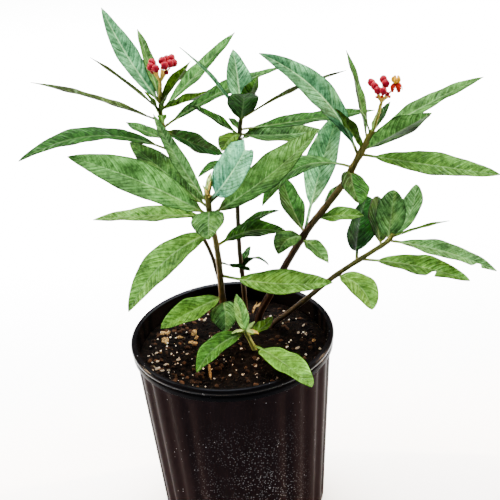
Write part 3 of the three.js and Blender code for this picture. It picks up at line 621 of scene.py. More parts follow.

# Each stem: its diameter and its colour at the mix and at its top, the points that it passes through,
# its leaves, and the stubs, bracts and young leaves that unfold at its tip. A leaf row is: height of
# its joint, heading (0 is right, 90 is back), rise, length, width, lift and swing of the midrib's
# middle off the straight line, turn about the midrib, the petiole's share of the length, the taper (a
# small one is a blunt leaf), tone, how many times lighter its left half is painted than its right (a
# painted light and shade of the two halves of its fold), and what has eaten into it: where across the
# blade its tip is torn off, or the place, depth and reach of a bite.
STEMS = {
    "leafy_stem_front_left": {
        "thickness": (5.8, 4.2),
        "colours": ("#2c200d", "#54541f"),
        "route": [(-5, 31, 150), (-6, 28, 183), (-6, 24, 210), (-7, 20, 238), (-10, 16, 268),
                  (-10, 14, 286)],
        "leaves": [
            (265, 167, 24, 122, 31, 5, 0, 34, 0.06, 0.8, "fresh", 0.55),
            (265, 169, -3, 96, 18, 2, -1, 13, 0.08, 0.85, "pale", 0.6),
            (250, 224, -16, 100, 27, 8, -5, 17, 0.05, 0.8, "grass", 0.65),
            (271, 267, -14, 34, 28, 2, 0, -8, 0.05, 0.75, "soft", 1),
            (277, 132, 47, 84, 13, -1, 2, 14, 0.06, 0.85, "cool", 0.7),
            (279, 344, 57, 71, 30, -3, 0, -60, 0.14, 0.45, "frosted", 1.6,
             {"torn": ((-1, -0.7, -0.1, 0.1, 0.5, 1), (0.88, 0.88, 0.78, 0.79, 0.91, 0.76))}),
            (273, 132, 18, 96, 29, -1, 0, 3, 0.08, 0.75, "soft", 1),
            (276, 334, 42, 20, 6, 1, 0, 0, 0.08, 0.85, "young", 1),
            (280, 28, 69, 32, 8, 1, 0, 20, 0.08, 0.75, "olive", 1),
            (266, 1, 37, 112, 34, -5, 0, -22, 0.07, 0.8, "soft", 1.7),
            (235, 20, -4, 62, 20, 7, 2, -16, 0.12, 0.8, "deep", 2.0),
            (205, 335, 6, 98, 25, -3, -2, -25, 0.17, 0.75, "bright", 0.85),
            (219, 25, -32, 32, 11, 0, 0, 40, 0.3, 0.6, "deep", 1),
            (183, 212, -6, 60, 24, 1, 0, 14, 0.06, 0.7, "rimmed", 1),
            (179, 271, -25, 31, 25, 2, 1, -12, 0.08, 0.75, "cool", 1.2),
        ],
        "tip_leaves": [
            (284, 250, 62, 10, 3, 1, 0, 0, 0.1, 0.7, "stub", 1),
            (285, 20, 74, 12, 3, 0, 0, 0, 0.1, 0.7, "stub", 1),
            (283, 300, 40, 8, 3, 0, 0, 10, 0.1, 0.7, "stub", 1),
            (285, 150, 66, 9, 3, 0, 0, 0, 0.1, 0.7, "tender", 1),
            (272, 60, 74, 30, 8, 2, 1, 30, 0.1, 0.8, "tender", 1),
        ],
    },
    "leafy_stem_back_left": {
        "thickness": (3.8, 2.8),
        "colours": ("#160d05", "#565c1c"),
        "route": [(-5, 48, 150), (-8, 52, 185), (-13, 55, 210), (-22, 59, 233), (-32, 64, 265),
                  (-39, 68, 300), (-43, 72, 334), (-42, 72, 346)],
        "leaves": [
            (340, 130, 45, 92, 19, 0, 3, 12, 0.05, 0.85, "silvery", 0.65),
            (334, 190, 47, 74, 8, 1, 0, 6, 0.08, 0.85, "dusky", 1),
            (324, 165, 16, 112, 12, 2, -1, -8, 0.08, 0.85, "dusky", 0.5),
            (341, 107, 41, 67, 13, 2, 0, -29, 0.08, 0.85, "soft", 1.5),
            (342, 336, 52, 48, 15, 0, 0, 30, 0.05, 1.2, "olive", 0.35),
            (333, 41, 25, 93, 17, 0, -1, 0, 0.08, 0.85, "mid", 2.0),
            (335, 343, 24, 45, 16, -1, 0, 41, 0.08, 0.85, "young", 0.4),
            (319, 26, 12, 112, 17, 4, 2, -9, 0.08, 0.85, "mid", 1.9),
            (300, 198, 9, 124, 20, 14, -7, 12, 0.08, 0.75, "dark", 0.8),
            (309, 139, 6, 44, 13, -1, 0, 5, 0.08, 0.85, "mid", 0.7),
            (317, 27, -36, 62, 19, -1, -1, -38, 0.06, 0.7, "shaded", 1.3),
        ],
        "tip_leaves": [
            (326, 200, 66, 30, 9, 1, 0, 20, 0.1, 0.8, "young", 1),
            (330, 320, 62, 28, 10, 2, 0, -10, 0.1, 0.8, "young", 1),
            (322, 270, 50, 18, 8, 2, 0, 0, 0.1, 0.8, "bright", 1),
        ],
    },
    "leafy_stem_middle": {
        "thickness": (4.4, 3.2),
        "colours": ("#171006", "#272f0e"),
        "route": [(12, 44, 150), (12, 46, 182), (11, 48, 212), (12, 51, 248), (14, 54, 285),
                  (19, 57, 319), (21, 58, 332)],
        "leaves": [
            (329, 93, 41, 60, 22, 2, -1, -20, 0.08, 0.85, "sheen", 1),
            (326, 278, 50, 50, 26, 3, 1, 6, 0.08, 0.6, "dark", 1),
            (329, 311, 61, 49, 14, 1, 0, 21, 0.08, 0.85, "grass", 0.4),
            (328, 31, 6, 104, 8, 2, 3, 55, 0.08, 0.85, "dusky", 1),
            (329, 189, 57, 80, 10, 3, 0, -22, 0.08, 0.85, "silvery", 1),
            (314, 164, 33, 45, 13, 1, 0, -1, 0.08, 0.85, "deep", 0.35),
            (319, 17, -4, 116, 17, 0, 0, -11, 0.08, 0.85, "dark", 1.4),
            (315, 25, -13, 76, 22, -2, -1, -23, 0.06, 0.7, "cool", 0.6),
            (316, 236, -8, 27, 17, 2, -1, 0, 0.08, 0.7, "young", 2.5),
            (310, 38, -1, 26, 11, 1, 0, 60, 0.08, 0.85, "bright", 1),
            (318, 114, 10, 20, 8, 1, 0, -13, 0.08, 0.85, "deep", 1),
            (234, 8, 17, 36, 10, 2, 0, -5, 0.08, 0.85, "deep", 2.5),
            (194, 328, 25, 29, 9, 8, 3, 30, 0.08, 0.55, "black", 1),
            (196, 64, 31, 22, 10, 1, 0, 27, 0.08, 0.55, "black", 1),
            (290, 218, 5, 40, 12, 5, 0, 0, 0.1, 0.8, "dark", 1),
        ],
    },
    "leafy_stem_right": {
        "thickness": (6.6, 5),
        "colours": ("#170a04", "#4e4d1c"),
        "route": [(22, 42, 150), (34, 41, 175), (47, 40, 200), (58, 39, 219), (71, 38, 239),
                  (85, 37, 257), (98, 36, 275), (109, 35, 295), (114, 35, 304), (123, 35, 320)],
        "leaves": [
            (298, 162, 48, 114, 24, 11, -5, 32, 0.1, 0.85, "silvery", 0.55),
            (304, 177, 62, 42, 16, 1, 0, -40, 0.05, 0.8, "young", 0.4),
            (311, 101, 47, 77, 14, 2, -1, -50, 0.08, 0.85, "dark", 0.5),
            (312, 16, 19, 105, 18, 2, 1, -8, 0.08, 0.85, "soft", 1.6),
            (303, 343, 33, 67, 25, 0, 0, 60, 0.08, 0.85, "soft", 0.3),
            (300, 335, -1, 114, 23, 0, -1, -22, 0.11, 0.75, "grass", 1.45),
            (316, 52, 29, 34, 9, 1, 0, 5, 0.08, 0.85, "deep", 1),
            (289, 188, -17, 78, 22, 14, -9, 11, 0.16, 0.8, "mid", 0.4),
            (229, 53, 55, 104, 28, 2, 1, -5, 0.24, 0.75, "faded", 2.4),
            (230, 107, 32, 60, 22, 0, 2, -16, 0.08, 0.85, "dark", 0.6),
            (243, 337, 12, 42, 17, 2, 0, -18, 0.12, 0.75, "grass", 1.35),
            (252, 31, 47, 24, 9, 1, 0, 11, 0.08, 0.85, "mid", 1.7),
            (286, 277, -23, 35, 26, 0, -2, 24, 0.04, 0.6, "dark", 2.5),
            (228, 230, 0, 34, 21, 4, -3, 11, 0.08, 0.75, "soft", 1.9),
            (226, 306, -16, 34, 15, 2, 0, -3, 0.08, 0.85, "pale", 2.5),
        ],
        "tip_leaves": [
            (316, 200, 70, 26, 8, 1, 0, 20, 0.1, 0.8, "grass", 1),
            (318, 320, 72, 20, 5, 1, 0, 0, 0.1, 0.8, "tender", 1),
        ],
    },
    "leafy_stem_far_right": {
        "thickness": (4.8, 3.6),
        "colours": ("#140c05", "#4a521f"),
        "route": [(33, 29, 150), (47, 27, 163), (66, 24, 180), (83, 21, 196), (99, 18, 209),
                  (115, 15, 221), (130, 12, 233), (134, 12, 239)],
        "leaves": [
            (213, 73, 33, 60, 32, 1, 2, -153, 0.16, 0.55, "black", 1.8),
            (233, 58, 73, 42, 25, 2, -1, 150, 0.08, 0.55, "cool", 1.3),
            (235, 56, 30, 53, 25, -3, -5, 19, 0.08, 0.6, "cool", 1.15),
            (233, 330, -5, 92, 18, 3, 2, -11, 0.1, 0.75, "cool", 1.5, {"bitten": (0.82, 1.0, 3.0)}),
            (236, 345, 21, 50, 6, 1, 0, 4, 0.08, 0.85, "young", 1),
            (215, 328, 2, 96, 23, 2, 3, -11, 0.16, 0.75, "grass", 2.1, {"bitten": (0.63, 0.85, 2.8)}),
            (200, 302, -13, 48, 25, 4, 5, 0, 0.08, 0.6, "bright", 2.1),
            (228, 87, 32, 46, 23, 0, 2, -39, 0.08, 0.6, "deep", 0.8),
        ],
    },
    "basal_shoot": {
        "thickness": (4.2, 3.4),
        "colours": ("#5a6233", "#66753f"),
        "route": [(17, -5, 150), (14, -5, 160), (11, -6, 169)],
        "leaves": [
            (167, 108, 55, 33, 12, 2, 1, -6, 0.05, 0.8, "lit", 0.6),
            (165, 39, 11, 28, 13, -1, -2, -2, 0.08, 0.8, "young", 1),
            (168, 222, -10, 56, 21, 4, -4, 5, 0.05, 0.8, "glossy", 0.7),
            (155, 296, 9, 99, 27, 5, -1, 5, 0.2, 0.6, "rimmed", 1.25),
        ],
        "tip_leaves": [
            (176, 240, 30, 14, 6, 1, 0, 0, 0.1, 0.7, "tender", 1),
            (177, 300, 20, 13, 6, 1, 0, 0, 0.1, 0.7, "tender", 1),
            (174, 330, 5, 12, 5, 1, 0, 0, 0.1, 0.7, "stub", 1),
            (173, 200, 10, 12, 5, 1, 0, 0, 0.1, 0.7, "tender", 1),
            (178, 20, 40, 11, 5, 0, 0, 0, 0.1, 0.7, "tender", 1),
        ],
    },
}


def unit(vector):
    """A vector of the same heading and of length one."""
    return vector / np.linalg.norm(vector)


def rooted(route):
    """A stem's route, begun at its foot, which is sunk in the mix."""
    x, y, height = route[0]
    return [np.array(point, float) for point in [(x, y, height - ROOT_DEPTH)] + route]


def along_route(route, share):
    """The point of a centripetal spline through a route, by the share of its points passed."""
    place = min(share, 0.999999) * (len(route) - 1)
    index = int(place)
    part = place - index
    start, end = route[index], route[index + 1]
    before = route[index - 1] if index > 0 else 2 * start - end
    after = route[index + 2] if index + 2 < len(route) else 2 * end - start
    spans = ((before, start), (start, end), (end, after))
    back, span, ahead = [max(np.linalg.norm(to - since), 1e-6) ** 0.5 for since, to in spans]
    leaving = ((start - before) / back - (end - before) / (back + span) + (end - start) / span) * span
    arriving = ((end - start) / span - (after - start) / (span + ahead) + (after - end) / ahead) * span
    return (start + leaving * part + (3 * (end - start) - 2 * leaving - arriving) * part ** 2
            + (2 * (start - end) + leaving + arriving) * part ** 3)


def tube(points, radii, sides):
    """Rings of a round stalk through its points."""
    points = np.array(points, float)
    tangents = np.gradient(points, axis=0)
    rings = []
    for middle, tangent, radius in zip(points, tangents, radii):
        tangent = unit(tangent)
        across = unit(np.cross((0, 1, 0), tangent))
        upright = np.cross(tangent, across)
        angles = [2 * math.pi * side / sides for side in range(sides)]
        rings.append([middle + radius * (across * math.cos(angle) + upright * math.sin(angle))
                      for angle in angles])
    return rings


def skin_of(corners, faces, colours, finish=0, **places):
    """A closed skin with the colour of each corner, its finish, and what else its finish reads."""
    return {"corners": corners, "faces": faces, "tone": colours, "finish": [finish] * len(faces), **places}


def blade_share(along, taper):
    """The half width of a lance-shaped blade at a share of its length, as a share of its widest."""
    return max(0.0, math.sin(math.pi * along ** WIDEST_POWER)) ** taper


def vein_relief(across, along):
    """How far the blade sinks at its side veins, which bend towards the tip as they near the edge."""
    far = np.abs(across)
    slanted = along - VEIN_SLANT * far - VEIN_BEND * far ** 2
    cell = slanted / VEIN_SPACING + np.where(across > 0, VEIN_STAGGER, 0.0)
    return np.exp(-(((cell % 1) - 0.5) / VEIN_WIDTH) ** 2)


def leaf(root, row):
    """One leaf: its skin, its surface coordinates (across and along, in millimetres and as shares)
    and the colour of each corner."""
    heading, rise, length, width, lift, swing, turn, petiole, taper, tone, lean = row[1:12]
    harm = row[12] if len(row) > 12 else {}
    course, climb, roll = (math.radians(angle) for angle in (heading, rise, turn))
    forward = np.array((math.cos(course) * math.cos(climb), math.sin(course) * math.cos(climb),
                        math.sin(climb)))
    up = unit(np.array((0, 0, 1.0)) - forward * forward[2])
    left = np.cross(up, forward)
    face = up * math.cos(roll) + left * math.sin(roll)
    columns = np.linspace(1, -1, BLADE_COLUMNS)
    stalk = [(0.0, None), (0.5 * petiole, None)]
    steps = int(min(MOST_ROWS, max(FEWEST_ROWS, length / ROW_SPACING)))
    blade = [(petiole + along * (1 - petiole), along) for along in np.linspace(0, 1, steps)]
    calm = min(1, width / CALM_WIDTH)
    millimetres, shares, corners = [], [], []
    for share, along in stalk + blade:
        bow = 4 * share * (1 - share)
        bend = 4 * (1 - 2 * share) / length
        centre = root + forward * share * length + up * bow * lift + left * bow * swing
        tangent = unit(forward + up * bend * lift + left * bend * swing)
        normal = unit(face - tangent * face.dot(tangent))
        side = np.cross(normal, tangent)
        full = 0 if along is None else blade_share(along, taper)
        spread = columns
        if "bitten" in harm and along is not None:
            place, depth, reach = harm["bitten"]
            kept = 1 - depth * math.exp(-((along - place) * length / reach) ** 4)
            spread = np.where(columns < 0, columns * kept, columns)
        far = np.abs(spread)
        half = max(PETIOLE_HALF_WIDTH if share < PETIOLE_REACH else TIP_HALF_WIDTH, width / 2 * full)

        # The blade is folded along its midrib, and each half arches a little, waves and ripples more
        # towards its edge, and sinks at its side veins. Heading and rise start each leaf's own waves.
        fold = half * math.sin(math.radians(FOLD)) * (np.hypot(spread, FOLD_ROUND) - FOLD_ROUND)
        arch = HALF_ARCH * half * np.sin(math.pi * far)
        wave = WAVE_HEIGHT * math.sin(2 * math.pi * WAVES * (along or 0) + heading) * spread
        ripple = RIPPLE_HEIGHT * far ** 3 * np.sin(length * share / RIPPLE_REACH + rise + spread)
        sunk = vein_relief(half * spread, np.full(len(spread), length * share))
        quilt = -VEIN_DEPTH * full * sunk * np.sin(math.pi * far) ** 0.5
        height = fold + arch + calm * full * (wave + ripple) + quilt
        middle = MIDRIB_THICKNESS - MIDRIB_THINNING * share
        ridge = np.exp(-(spread * half / MIDRIB_REACH) ** 2)
        thick = EDGE_THICKNESS + (middle - EDGE_THICKNESS) * ridge
        flat = centre + np.outer(spread * half * math.cos(math.radians(FOLD)), side)
        corners += list(flat + np.outer(height, normal))
        corners += list(flat + np.outer(height - thick, normal))[::-1]
        round_blade = np.concatenate([spread, spread[::-1]])
        millimetres += [(at * half, share * length) for at in round_blade]
        shares += [(at * 0.5 + 0.5, share) for at in round_blade]
    rings = np.array(corners).reshape(-1, 2 * BLADE_COLUMNS, 3)

    # A torn leaf ends where the tear crosses each column of its blade.
    if "torn" in harm:
        whole = rings[len(stalk):].copy()
        ends = np.interp(columns, *harm["torn"])
        for column, end in enumerate([*ends, *ends[::-1]]):
            for axis in range(3):
                rings[len(stalk):, column, axis] = np.interp(
                    np.linspace(0, end, steps), np.linspace(0, 1, steps), whole[:, column, axis])
    corners, faces = lofted(rings)
    green, rib, margin = TONES[tone]
    upper = np.array(linear(green)[:3])
    # Painted light and shade: one half of the blade is painted lighter and the other darker by the row's
    # ratio, as light falls on the two halves of its fold.
    painted_half_light = lean ** (0.5 * np.sign(columns))
    colours = [(*(upper * light), rib) for light in painted_half_light]
    colours += [(*(upper * UNDERSIDE_PALENESS * light), rib) for light in painted_half_light[::-1]]
    return skin_of(corners, faces, colours * len(rings), millimetres=millimetres, shares=shares,
                   margin=margin)


def stem_skin(stem):
    """A stem's skin, thickened a little at each leaf joint, and its colours."""
    shares = np.linspace(0, 1, STEM_RINGS)
    points = [along_route(rooted(stem["route"]), share) for share in shares]
    low, high = stem["thickness"]
    radii = []
    for share, point in zip(shares, points):
        joints = sum(math.exp(-((point[2] - row[0]) / JOINT_REACH) ** 2) for row in stem["leaves"])
        swell = min(joints, MOST_JOINTS)
        wobble = noise.noise(Vector(point / BARK_WIDTH)) * BARK_SWELL
        radii.append((low + (high - low) * share) / 2 * (1 + JOINT_SWELL * swell + wobble))
    corners, faces = lofted(tube(points, radii, STEM_SIDES))
    base, top = (np.array(linear(colour)) for colour in stem["colours"])
    colours = [tuple(base + (top - base) * share ** 3) for share in shares for _ in range(STEM_SIDES)]
    return skin_of(corners, faces, colours, 1)


def grown_piece(name, skins, finishes):
    """One object from several skins, with their surface coordinates and colours."""
    corners, faces = [], []
    for skin in skins:
        faces += [tuple(len(corners) + at for at in face) for face in skin["faces"]]
        corners += list(skin["corners"])
    made = object_of(name, corners, faces)
    mesh = made.data
    for finish in finishes:
        mesh.materials.append(finish)
    mesh.polygons.foreach_set("material_index", [kind for skin in skins for kind in skin["finish"]])
    corner_of = np.zeros(len(mesh.loops), int)
    mesh.loops.foreach_get("vertex_index", corner_of)
    for label in ("millimetres", "shares"):
        places = np.concatenate([skin.get(label, np.zeros((len(skin["corners"]), 2))) for skin in skins])
        mesh.uv_layers.new(name=label).uv.foreach_set("vector", places[corner_of].ravel())
    tone = mesh.color_attributes.new("tone", "FLOAT_COLOR", "POINT")
    tone.data.foreach_set("color", np.concatenate([skin["tone"] for skin in skins]).ravel())
    margin = mesh.attributes.new("margin", "FLOAT", "POINT")
    margin.data.foreach_set("value", [skin.get("margin", 1) for skin in skins for _ in skin["corners"]])
    return smoothed(made, 50)


# Milkweed leaf: a smooth waxy skin, matt to satin, with a pale midrib that fades towards the tip. Side
# veins leave it every 6 mm and bend to the tip, the blade swells softly between them, and a grey wax
# and a painted sheen lie in streaks along them. Each swelling carries a painted light and shade. The
# fine net of veins is drawn at 1.8 mm, twice its real size, to show at all. The shares run along the
# leaf from its joint to its tip, and from edge to edge.
leaf_skin, tree = new_finish("milkweed_leaf")
place = add(tree, "ShaderNodeTexCoord").outputs["Object"]
blade = add(tree, "ShaderNodeUVMap", uv_map="millimetres").outputs[0]
outline = add(tree, "ShaderNodeUVMap", uv_map="shares").outputs[0]
tone = add(tree, "ShaderNodeAttribute", attribute_name="tone")
rim_shade = add(tree, "ShaderNodeAttribute", attribute_name="margin")
across = add(tree, "ShaderNodeSeparateXYZ", {0: blade})
away = add(tree, "ShaderNodeMath", {0: across.outputs["X"]}, operation="ABSOLUTE")
side = add(tree, "ShaderNodeMath", {0: across.outputs["X"], 1: 0.0}, operation="GREATER_THAN")
drift = add(tree, "ShaderNodeTexNoise", {"Vector": place, "Scale": 1 / (8 * MM), "Detail": 2})
slant = add(tree, "ShaderNodeMath", {0: away.outputs[0], 1: -VEIN_SLANT, 2: across.outputs["Y"]},
            operation="MULTIPLY_ADD")
squared = add(tree, "ShaderNodeMath", {0: away.outputs[0], 1: 2.0}, operation="POWER")
curved = add(tree, "ShaderNodeMath", {0: squared.outputs[0], 1: -VEIN_BEND, 2: slant.outputs[0]},
             operation="MULTIPLY_ADD")
strayed = add(tree, "ShaderNodeMath", {0: drift.outputs[0], 1: 2.6, 2: curved.outputs[0]},
              operation="MULTIPLY_ADD")
count = add(tree, "ShaderNodeMath", {0: strayed.outputs[0], 1: VEIN_SPACING}, operation="DIVIDE")
stagger = add(tree, "ShaderNodeMath", {0: side.outputs[0], 1: VEIN_STAGGER, 2: count.outputs[0]},
              operation="MULTIPLY_ADD")
cell = add(tree, "ShaderNodeMath", {0: stagger.outputs[0]}, operation="FRACT")
off_vein = add(tree, "ShaderNodeMath", {0: cell.outputs[0], 1: 0.5}, operation="SUBTRACT")
distance = add(tree, "ShaderNodeMath", {0: off_vein.outputs[0]}, operation="ABSOLUTE")
vein = add(tree, "ShaderNodeMapRange", {"Value": distance.outputs[0], "From Min": 0.1, "From Max": 0.0},
           interpolation_type="SMOOTHSTEP")
trough = add(tree, "ShaderNodeMapRange", {"Value": distance.outputs[0], "From Min": 0.45,
                                          "From Max": 0.0}, interpolation_type="SMOOTHSTEP")
where = add(tree, "ShaderNodeSeparateXYZ", {0: outline})

# The midrib tapers from 1.4 mm beside its middle at the foot of the leaf to half a millimetre.
rib_reach = add(tree, "ShaderNodeMath", {0: where.outputs["Y"], 1: -0.9, 2: 1.45},
                operation="MULTIPLY_ADD")
midrib = add(tree, "ShaderNodeMapRange", {"Value": away.outputs[0], "From Min": rib_reach.outputs[0],
                                          "From Max": 0.2}, interpolation_type="SMOOTHSTEP")
net = add(tree, "ShaderNodeTexVoronoi", {"Vector": place, "Scale": 1 / (1.8 * MM)},
          feature="DISTANCE_TO_EDGE")
mesh_line = add(tree, "ShaderNodeMapRange", {"Value": net.outputs[0], "From Min": 0.16, "From Max": 0.0})

# The streaks of wax and painted sheen run with the side veins: fine across them, long along them, and
# stronger in patches.
vein_way = add(tree, "ShaderNodeCombineXYZ", {0: strayed.outputs[0], 1: away.outputs[0],
                                              2: side.outputs[0]})
stretch = add(tree, "ShaderNodeVectorMath", {0: vein_way.outputs[0], 1: (1 / 1.5, 1 / 8, 7.0)},
              operation="MULTIPLY")
own_place = add(tree, "ShaderNodeVectorMath", {0: place, "Scale": 1 / (40 * MM)}, operation="SCALE")
own_streak = add(tree, "ShaderNodeVectorMath", {0: stretch.outputs[0], 1: own_place.outputs[0]})
streak = add(tree, "ShaderNodeTexNoise", {"Vector": own_streak.outputs[0], "Scale": 1.0, "Detail": 3,
                                          "Roughness": 0.6})
patch = add(tree, "ShaderNodeTexNoise", {"Vector": place, "Scale": 1 / (14 * MM), "Detail": 3})
streak_share = add(tree, "ShaderNodeMapRange", {"Value": streak.outputs[0], "From Min": 0.5,
                                                "From Max": 0.68}, interpolation_type="SMOOTHSTEP")
patch_share = add(tree, "ShaderNodeMapRange", {"Value": patch.outputs[0], "From Min": 0.4,
                                               "From Max": 0.62, "To Min": 0.05, "To Max": 0.28})
wax_and_sheen_share = add(tree, "ShaderNodeMath", {0: streak_share.outputs[0], 1: patch_share.outputs[0]},
                operation="MULTIPLY")

# The green is mottled at 4 to 5 mm and clouded at 19 mm, darker and lighter by as much, so that the
# leaf keeps the mean of its tone.
mottle = add(tree, "ShaderNodeTexNoise", {"Vector": place, "Scale": 1 / (4.5 * MM), "Detail": 5,
                                          "Roughness": 0.72})
shade = add(tree, "ShaderNodeMapRange", {"Value": mottle.outputs[0], "From Min": 0.38, "From Max": 0.62,
                                         "To Min": 0.5, "To Max": 1.55})
clouds = add(tree, "ShaderNodeTexNoise", {"Vector": place, "Scale": 1 / (19 * MM), "Detail": 1})
cloud_shade = add(tree, "ShaderNodeMapRange", {"Value": clouds.outputs[0], "From Min": 0.35,
                                               "From Max": 0.65, "To Min": 0.65, "To Max": 1.35})
streak_shade = add(tree, "ShaderNodeMapRange", {"Value": streak.outputs[0], "From Min": 0.36,
                                                "From Max": 0.64, "To Min": 0.72, "To Max": 1.3})
patchy = add(tree, "ShaderNodeMath", {0: shade.outputs[0], 1: cloud_shade.outputs[0]},
             operation="MULTIPLY")
streaky = add(tree, "ShaderNodeMath", {0: patchy.outputs[0], 1: streak_shade.outputs[0]},
              operation="MULTIPLY")
mottled = add(tree, "ShaderNodeVectorMath", {0: tone.outputs["Color"], "Scale": streaky.outputs[0]},
              operation="SCALE")
# A grey-green is mixed in along the streaks: wax and a painted sheen.
wax_and_sheen_streaked = add(tree, "ShaderNodeMix", {0: wax_and_sheen_share.outputs[0], 6: mottled.outputs[0],
                                    7: linear("#4f6b4f")}, data_type="RGBA")
shown = add(tree, "ShaderNodeMapRange", {"Value": patch.outputs[0], "From Min": 0.42, "From Max": 0.58,
                                         "To Min": 0.12, "To Max": 0.6})
strong = add(tree, "ShaderNodeMath", {0: vein.outputs[0], 1: shown.outputs[0]}, operation="MULTIPLY")
fine = add(tree, "ShaderNodeMath", {0: mesh_line.outputs[0], 1: 0.06, 2: strong.outputs[0]},
           operation="MULTIPLY_ADD")
lighter = add(tree, "ShaderNodeMath", {0: fine.outputs[0], 1: 2.6, 2: 1.0}, operation="MULTIPLY_ADD")
veined = add(tree, "ShaderNodeVectorMath", {0: wax_and_sheen_streaked.outputs[2], "Scale": lighter.outputs[0]},
             operation="SCALE")

# Each swelling between two veins is painted lighter on the side that faces the tip and darker on the
# other: a painted light and shade of its bulge, stronger in patches.
painted_bulge_light = add(tree, "ShaderNodeMath", {0: 0.5, 1: cell.outputs[0]}, operation="SUBTRACT")
painted_bulge_share = add(tree, "ShaderNodeMapRange", {"Value": patch.outputs[0], "From Min": 0.4,
                                               "From Max": 0.6, "To Min": 0.2, "To Max": 0.8})
painted_bulge_shade = add(tree, "ShaderNodeMath", {0: painted_bulge_light.outputs[0], 1: painted_bulge_share.outputs[0], 2: 1.0},
             operation="MULTIPLY_ADD")
quilt_shaded = add(tree, "ShaderNodeVectorMath", {0: veined.outputs[0], "Scale": painted_bulge_shade.outputs[0]},
              operation="SCALE")
rib_fade = add(tree, "ShaderNodeMapRange", {"Value": where.outputs["Y"], "From Min": 0.2, "To Min": 1.0,
                                            "To Max": 0.25})
rib_share = add(tree, "ShaderNodeMath", {0: tone.outputs["Alpha"], 1: rib_fade.outputs[0]},
                operation="MULTIPLY")
rib_wear = add(tree, "ShaderNodeMapRange", {"Value": mottle.outputs[0], "From Min": 0.4, "From Max": 0.6,
                                            "To Min": 0.45, "To Max": 1.0})
worn_rib = add(tree, "ShaderNodeMath", {0: midrib.outputs[0], 1: rib_wear.outputs[0]},
               operation="MULTIPLY")
rib = add(tree, "ShaderNodeMath", {0: worn_rib.outputs[0], 1: rib_share.outputs[0]},
          operation="MULTIPLY")
pale_tone = add(tree, "ShaderNodeVectorMath", {0: tone.outputs["Color"], 1: (2, 2, 2),
                                               2: linear("#788f64")[:3]}, operation="MULTIPLY_ADD")
ribbed = add(tree, "ShaderNodeMix", {0: rib.outputs[0], 6: quilt_shaded.outputs[0], 7: pale_tone.outputs[0]},
             data_type="RGBA")

# The petiole is olive, and the thin edge of the blade is darker or paler than its middle. Its very edge is
# painted darker still: a painted shade on the thin sides of the blade.
foot = add(tree, "ShaderNodeMapRange", {"Value": where.outputs["Y"], "From Min": 0.14, "From Max": 0.05,
                                        "To Max": 0.95})
footed = add(tree, "ShaderNodeMix", {0: foot.outputs[0], 6: ribbed.outputs[2], 7: linear("#3c4616")},
             data_type="RGBA")
edge_off = add(tree, "ShaderNodeMath", {0: where.outputs["X"], 1: 0.5}, operation="SUBTRACT")
edge_far = add(tree, "ShaderNodeMath", {0: edge_off.outputs[0]}, operation="ABSOLUTE")
margin = add(tree, "ShaderNodeMapRange", {"Value": edge_far.outputs[0], "From Min": 0.43,
                                          "From Max": 0.5, "To Min": 1.0,
                                          "To Max": rim_shade.outputs["Fac"]})
edge_painted_shade = add(tree, "ShaderNodeMapRange", {"Value": edge_far.outputs[0], "From Min": 0.48,
                                             "From Max": 0.495, "To Min": 1.0, "To Max": 0.3})
edge_shade = add(tree, "ShaderNodeMath", {0: margin.outputs[0], 1: edge_painted_shade.outputs[0]},
                 operation="MULTIPLY")
edged = add(tree, "ShaderNodeVectorMath", {0: footed.outputs[2], "Scale": edge_shade.outputs[0]},
            operation="SCALE")

# Side veins, net, midrib and mottling also press into the surface, too finely for the mesh.
sag = add(tree, "ShaderNodeMath", {0: trough.outputs[0], 1: 0.35}, operation="MULTIPLY")
pucker = add(tree, "ShaderNodeMath", {0: mesh_line.outputs[0], 1: 0.25, 2: sag.outputs[0]},
             operation="MULTIPLY_ADD")
creased = add(tree, "ShaderNodeMath", {0: pucker.outputs[0], 1: midrib.outputs[0]}, operation="ADD")
grained = add(tree, "ShaderNodeMath", {0: mottle.outputs[0], 1: 1.2, 2: creased.outputs[0]},
              operation="MULTIPLY_ADD")
bump = add(tree, "ShaderNodeBump", {"Strength": 0.6, "Distance": 0.35 * MM, "Height": grained.outputs[0]},
           invert=True)
waxy = add(tree, "ShaderNodeMapRange", {"Value": mottle.outputs[0], "To Min": 0.42, "To Max": 0.62})
blade_skin = add(tree, "ShaderNodeBsdfPrincipled", {"Base Color": edged.outputs[0],
                                                    "Roughness": waxy.outputs[0], "IOR": 1.45,
                                                    "Specular IOR Level": 0.02,
                                                    "Normal": bump.outputs[0]})
add(tree, "ShaderNodeOutputMaterial", {"Surface": blade_skin.outputs[0]})

# Milkweed stem: green skin that turns brown and corky with age, with fine streaks along it.
stem_bark, tree = new_finish("milkweed_stem")
place = add(tree, "ShaderNodeTexCoord").outputs["Object"]
tone = add(tree, "ShaderNodeAttribute", attribute_name="tone").outputs["Color"]
stretched = add(tree, "ShaderNodeMapping", {"Vector": place, "Scale": (1, 1, 0.2)})
streaks = add(tree, "ShaderNodeTexNoise", {"Vector": stretched.outputs[0], "Scale": 1 / (1.2 * MM),
                                           "Detail": 4})
shade = add(tree, "ShaderNodeMapRange", {"Value": streaks.outputs[0], "From Min": 0.3, "From Max": 0.7,
                                         "To Min": 0.6, "To Max": 1.5})
streaked = add(tree, "ShaderNodeVectorMath", {0: tone, "Scale": shade.outputs[0]}, operation="SCALE")
bump = add(tree, "ShaderNodeBump", {"Strength": 0.5, "Distance": 0.3 * MM, "Height": streaks.outputs[0]})
corky = add(tree, "ShaderNodeBsdfPrincipled", {"Base Color": streaked.outputs[0], "Roughness": 0.6,
                                               "Specular IOR Level": 0.08, "Normal": bump.outputs[0]})
add(tree, "ShaderNodeOutputMaterial", {"Surface": corky.outputs[0]})

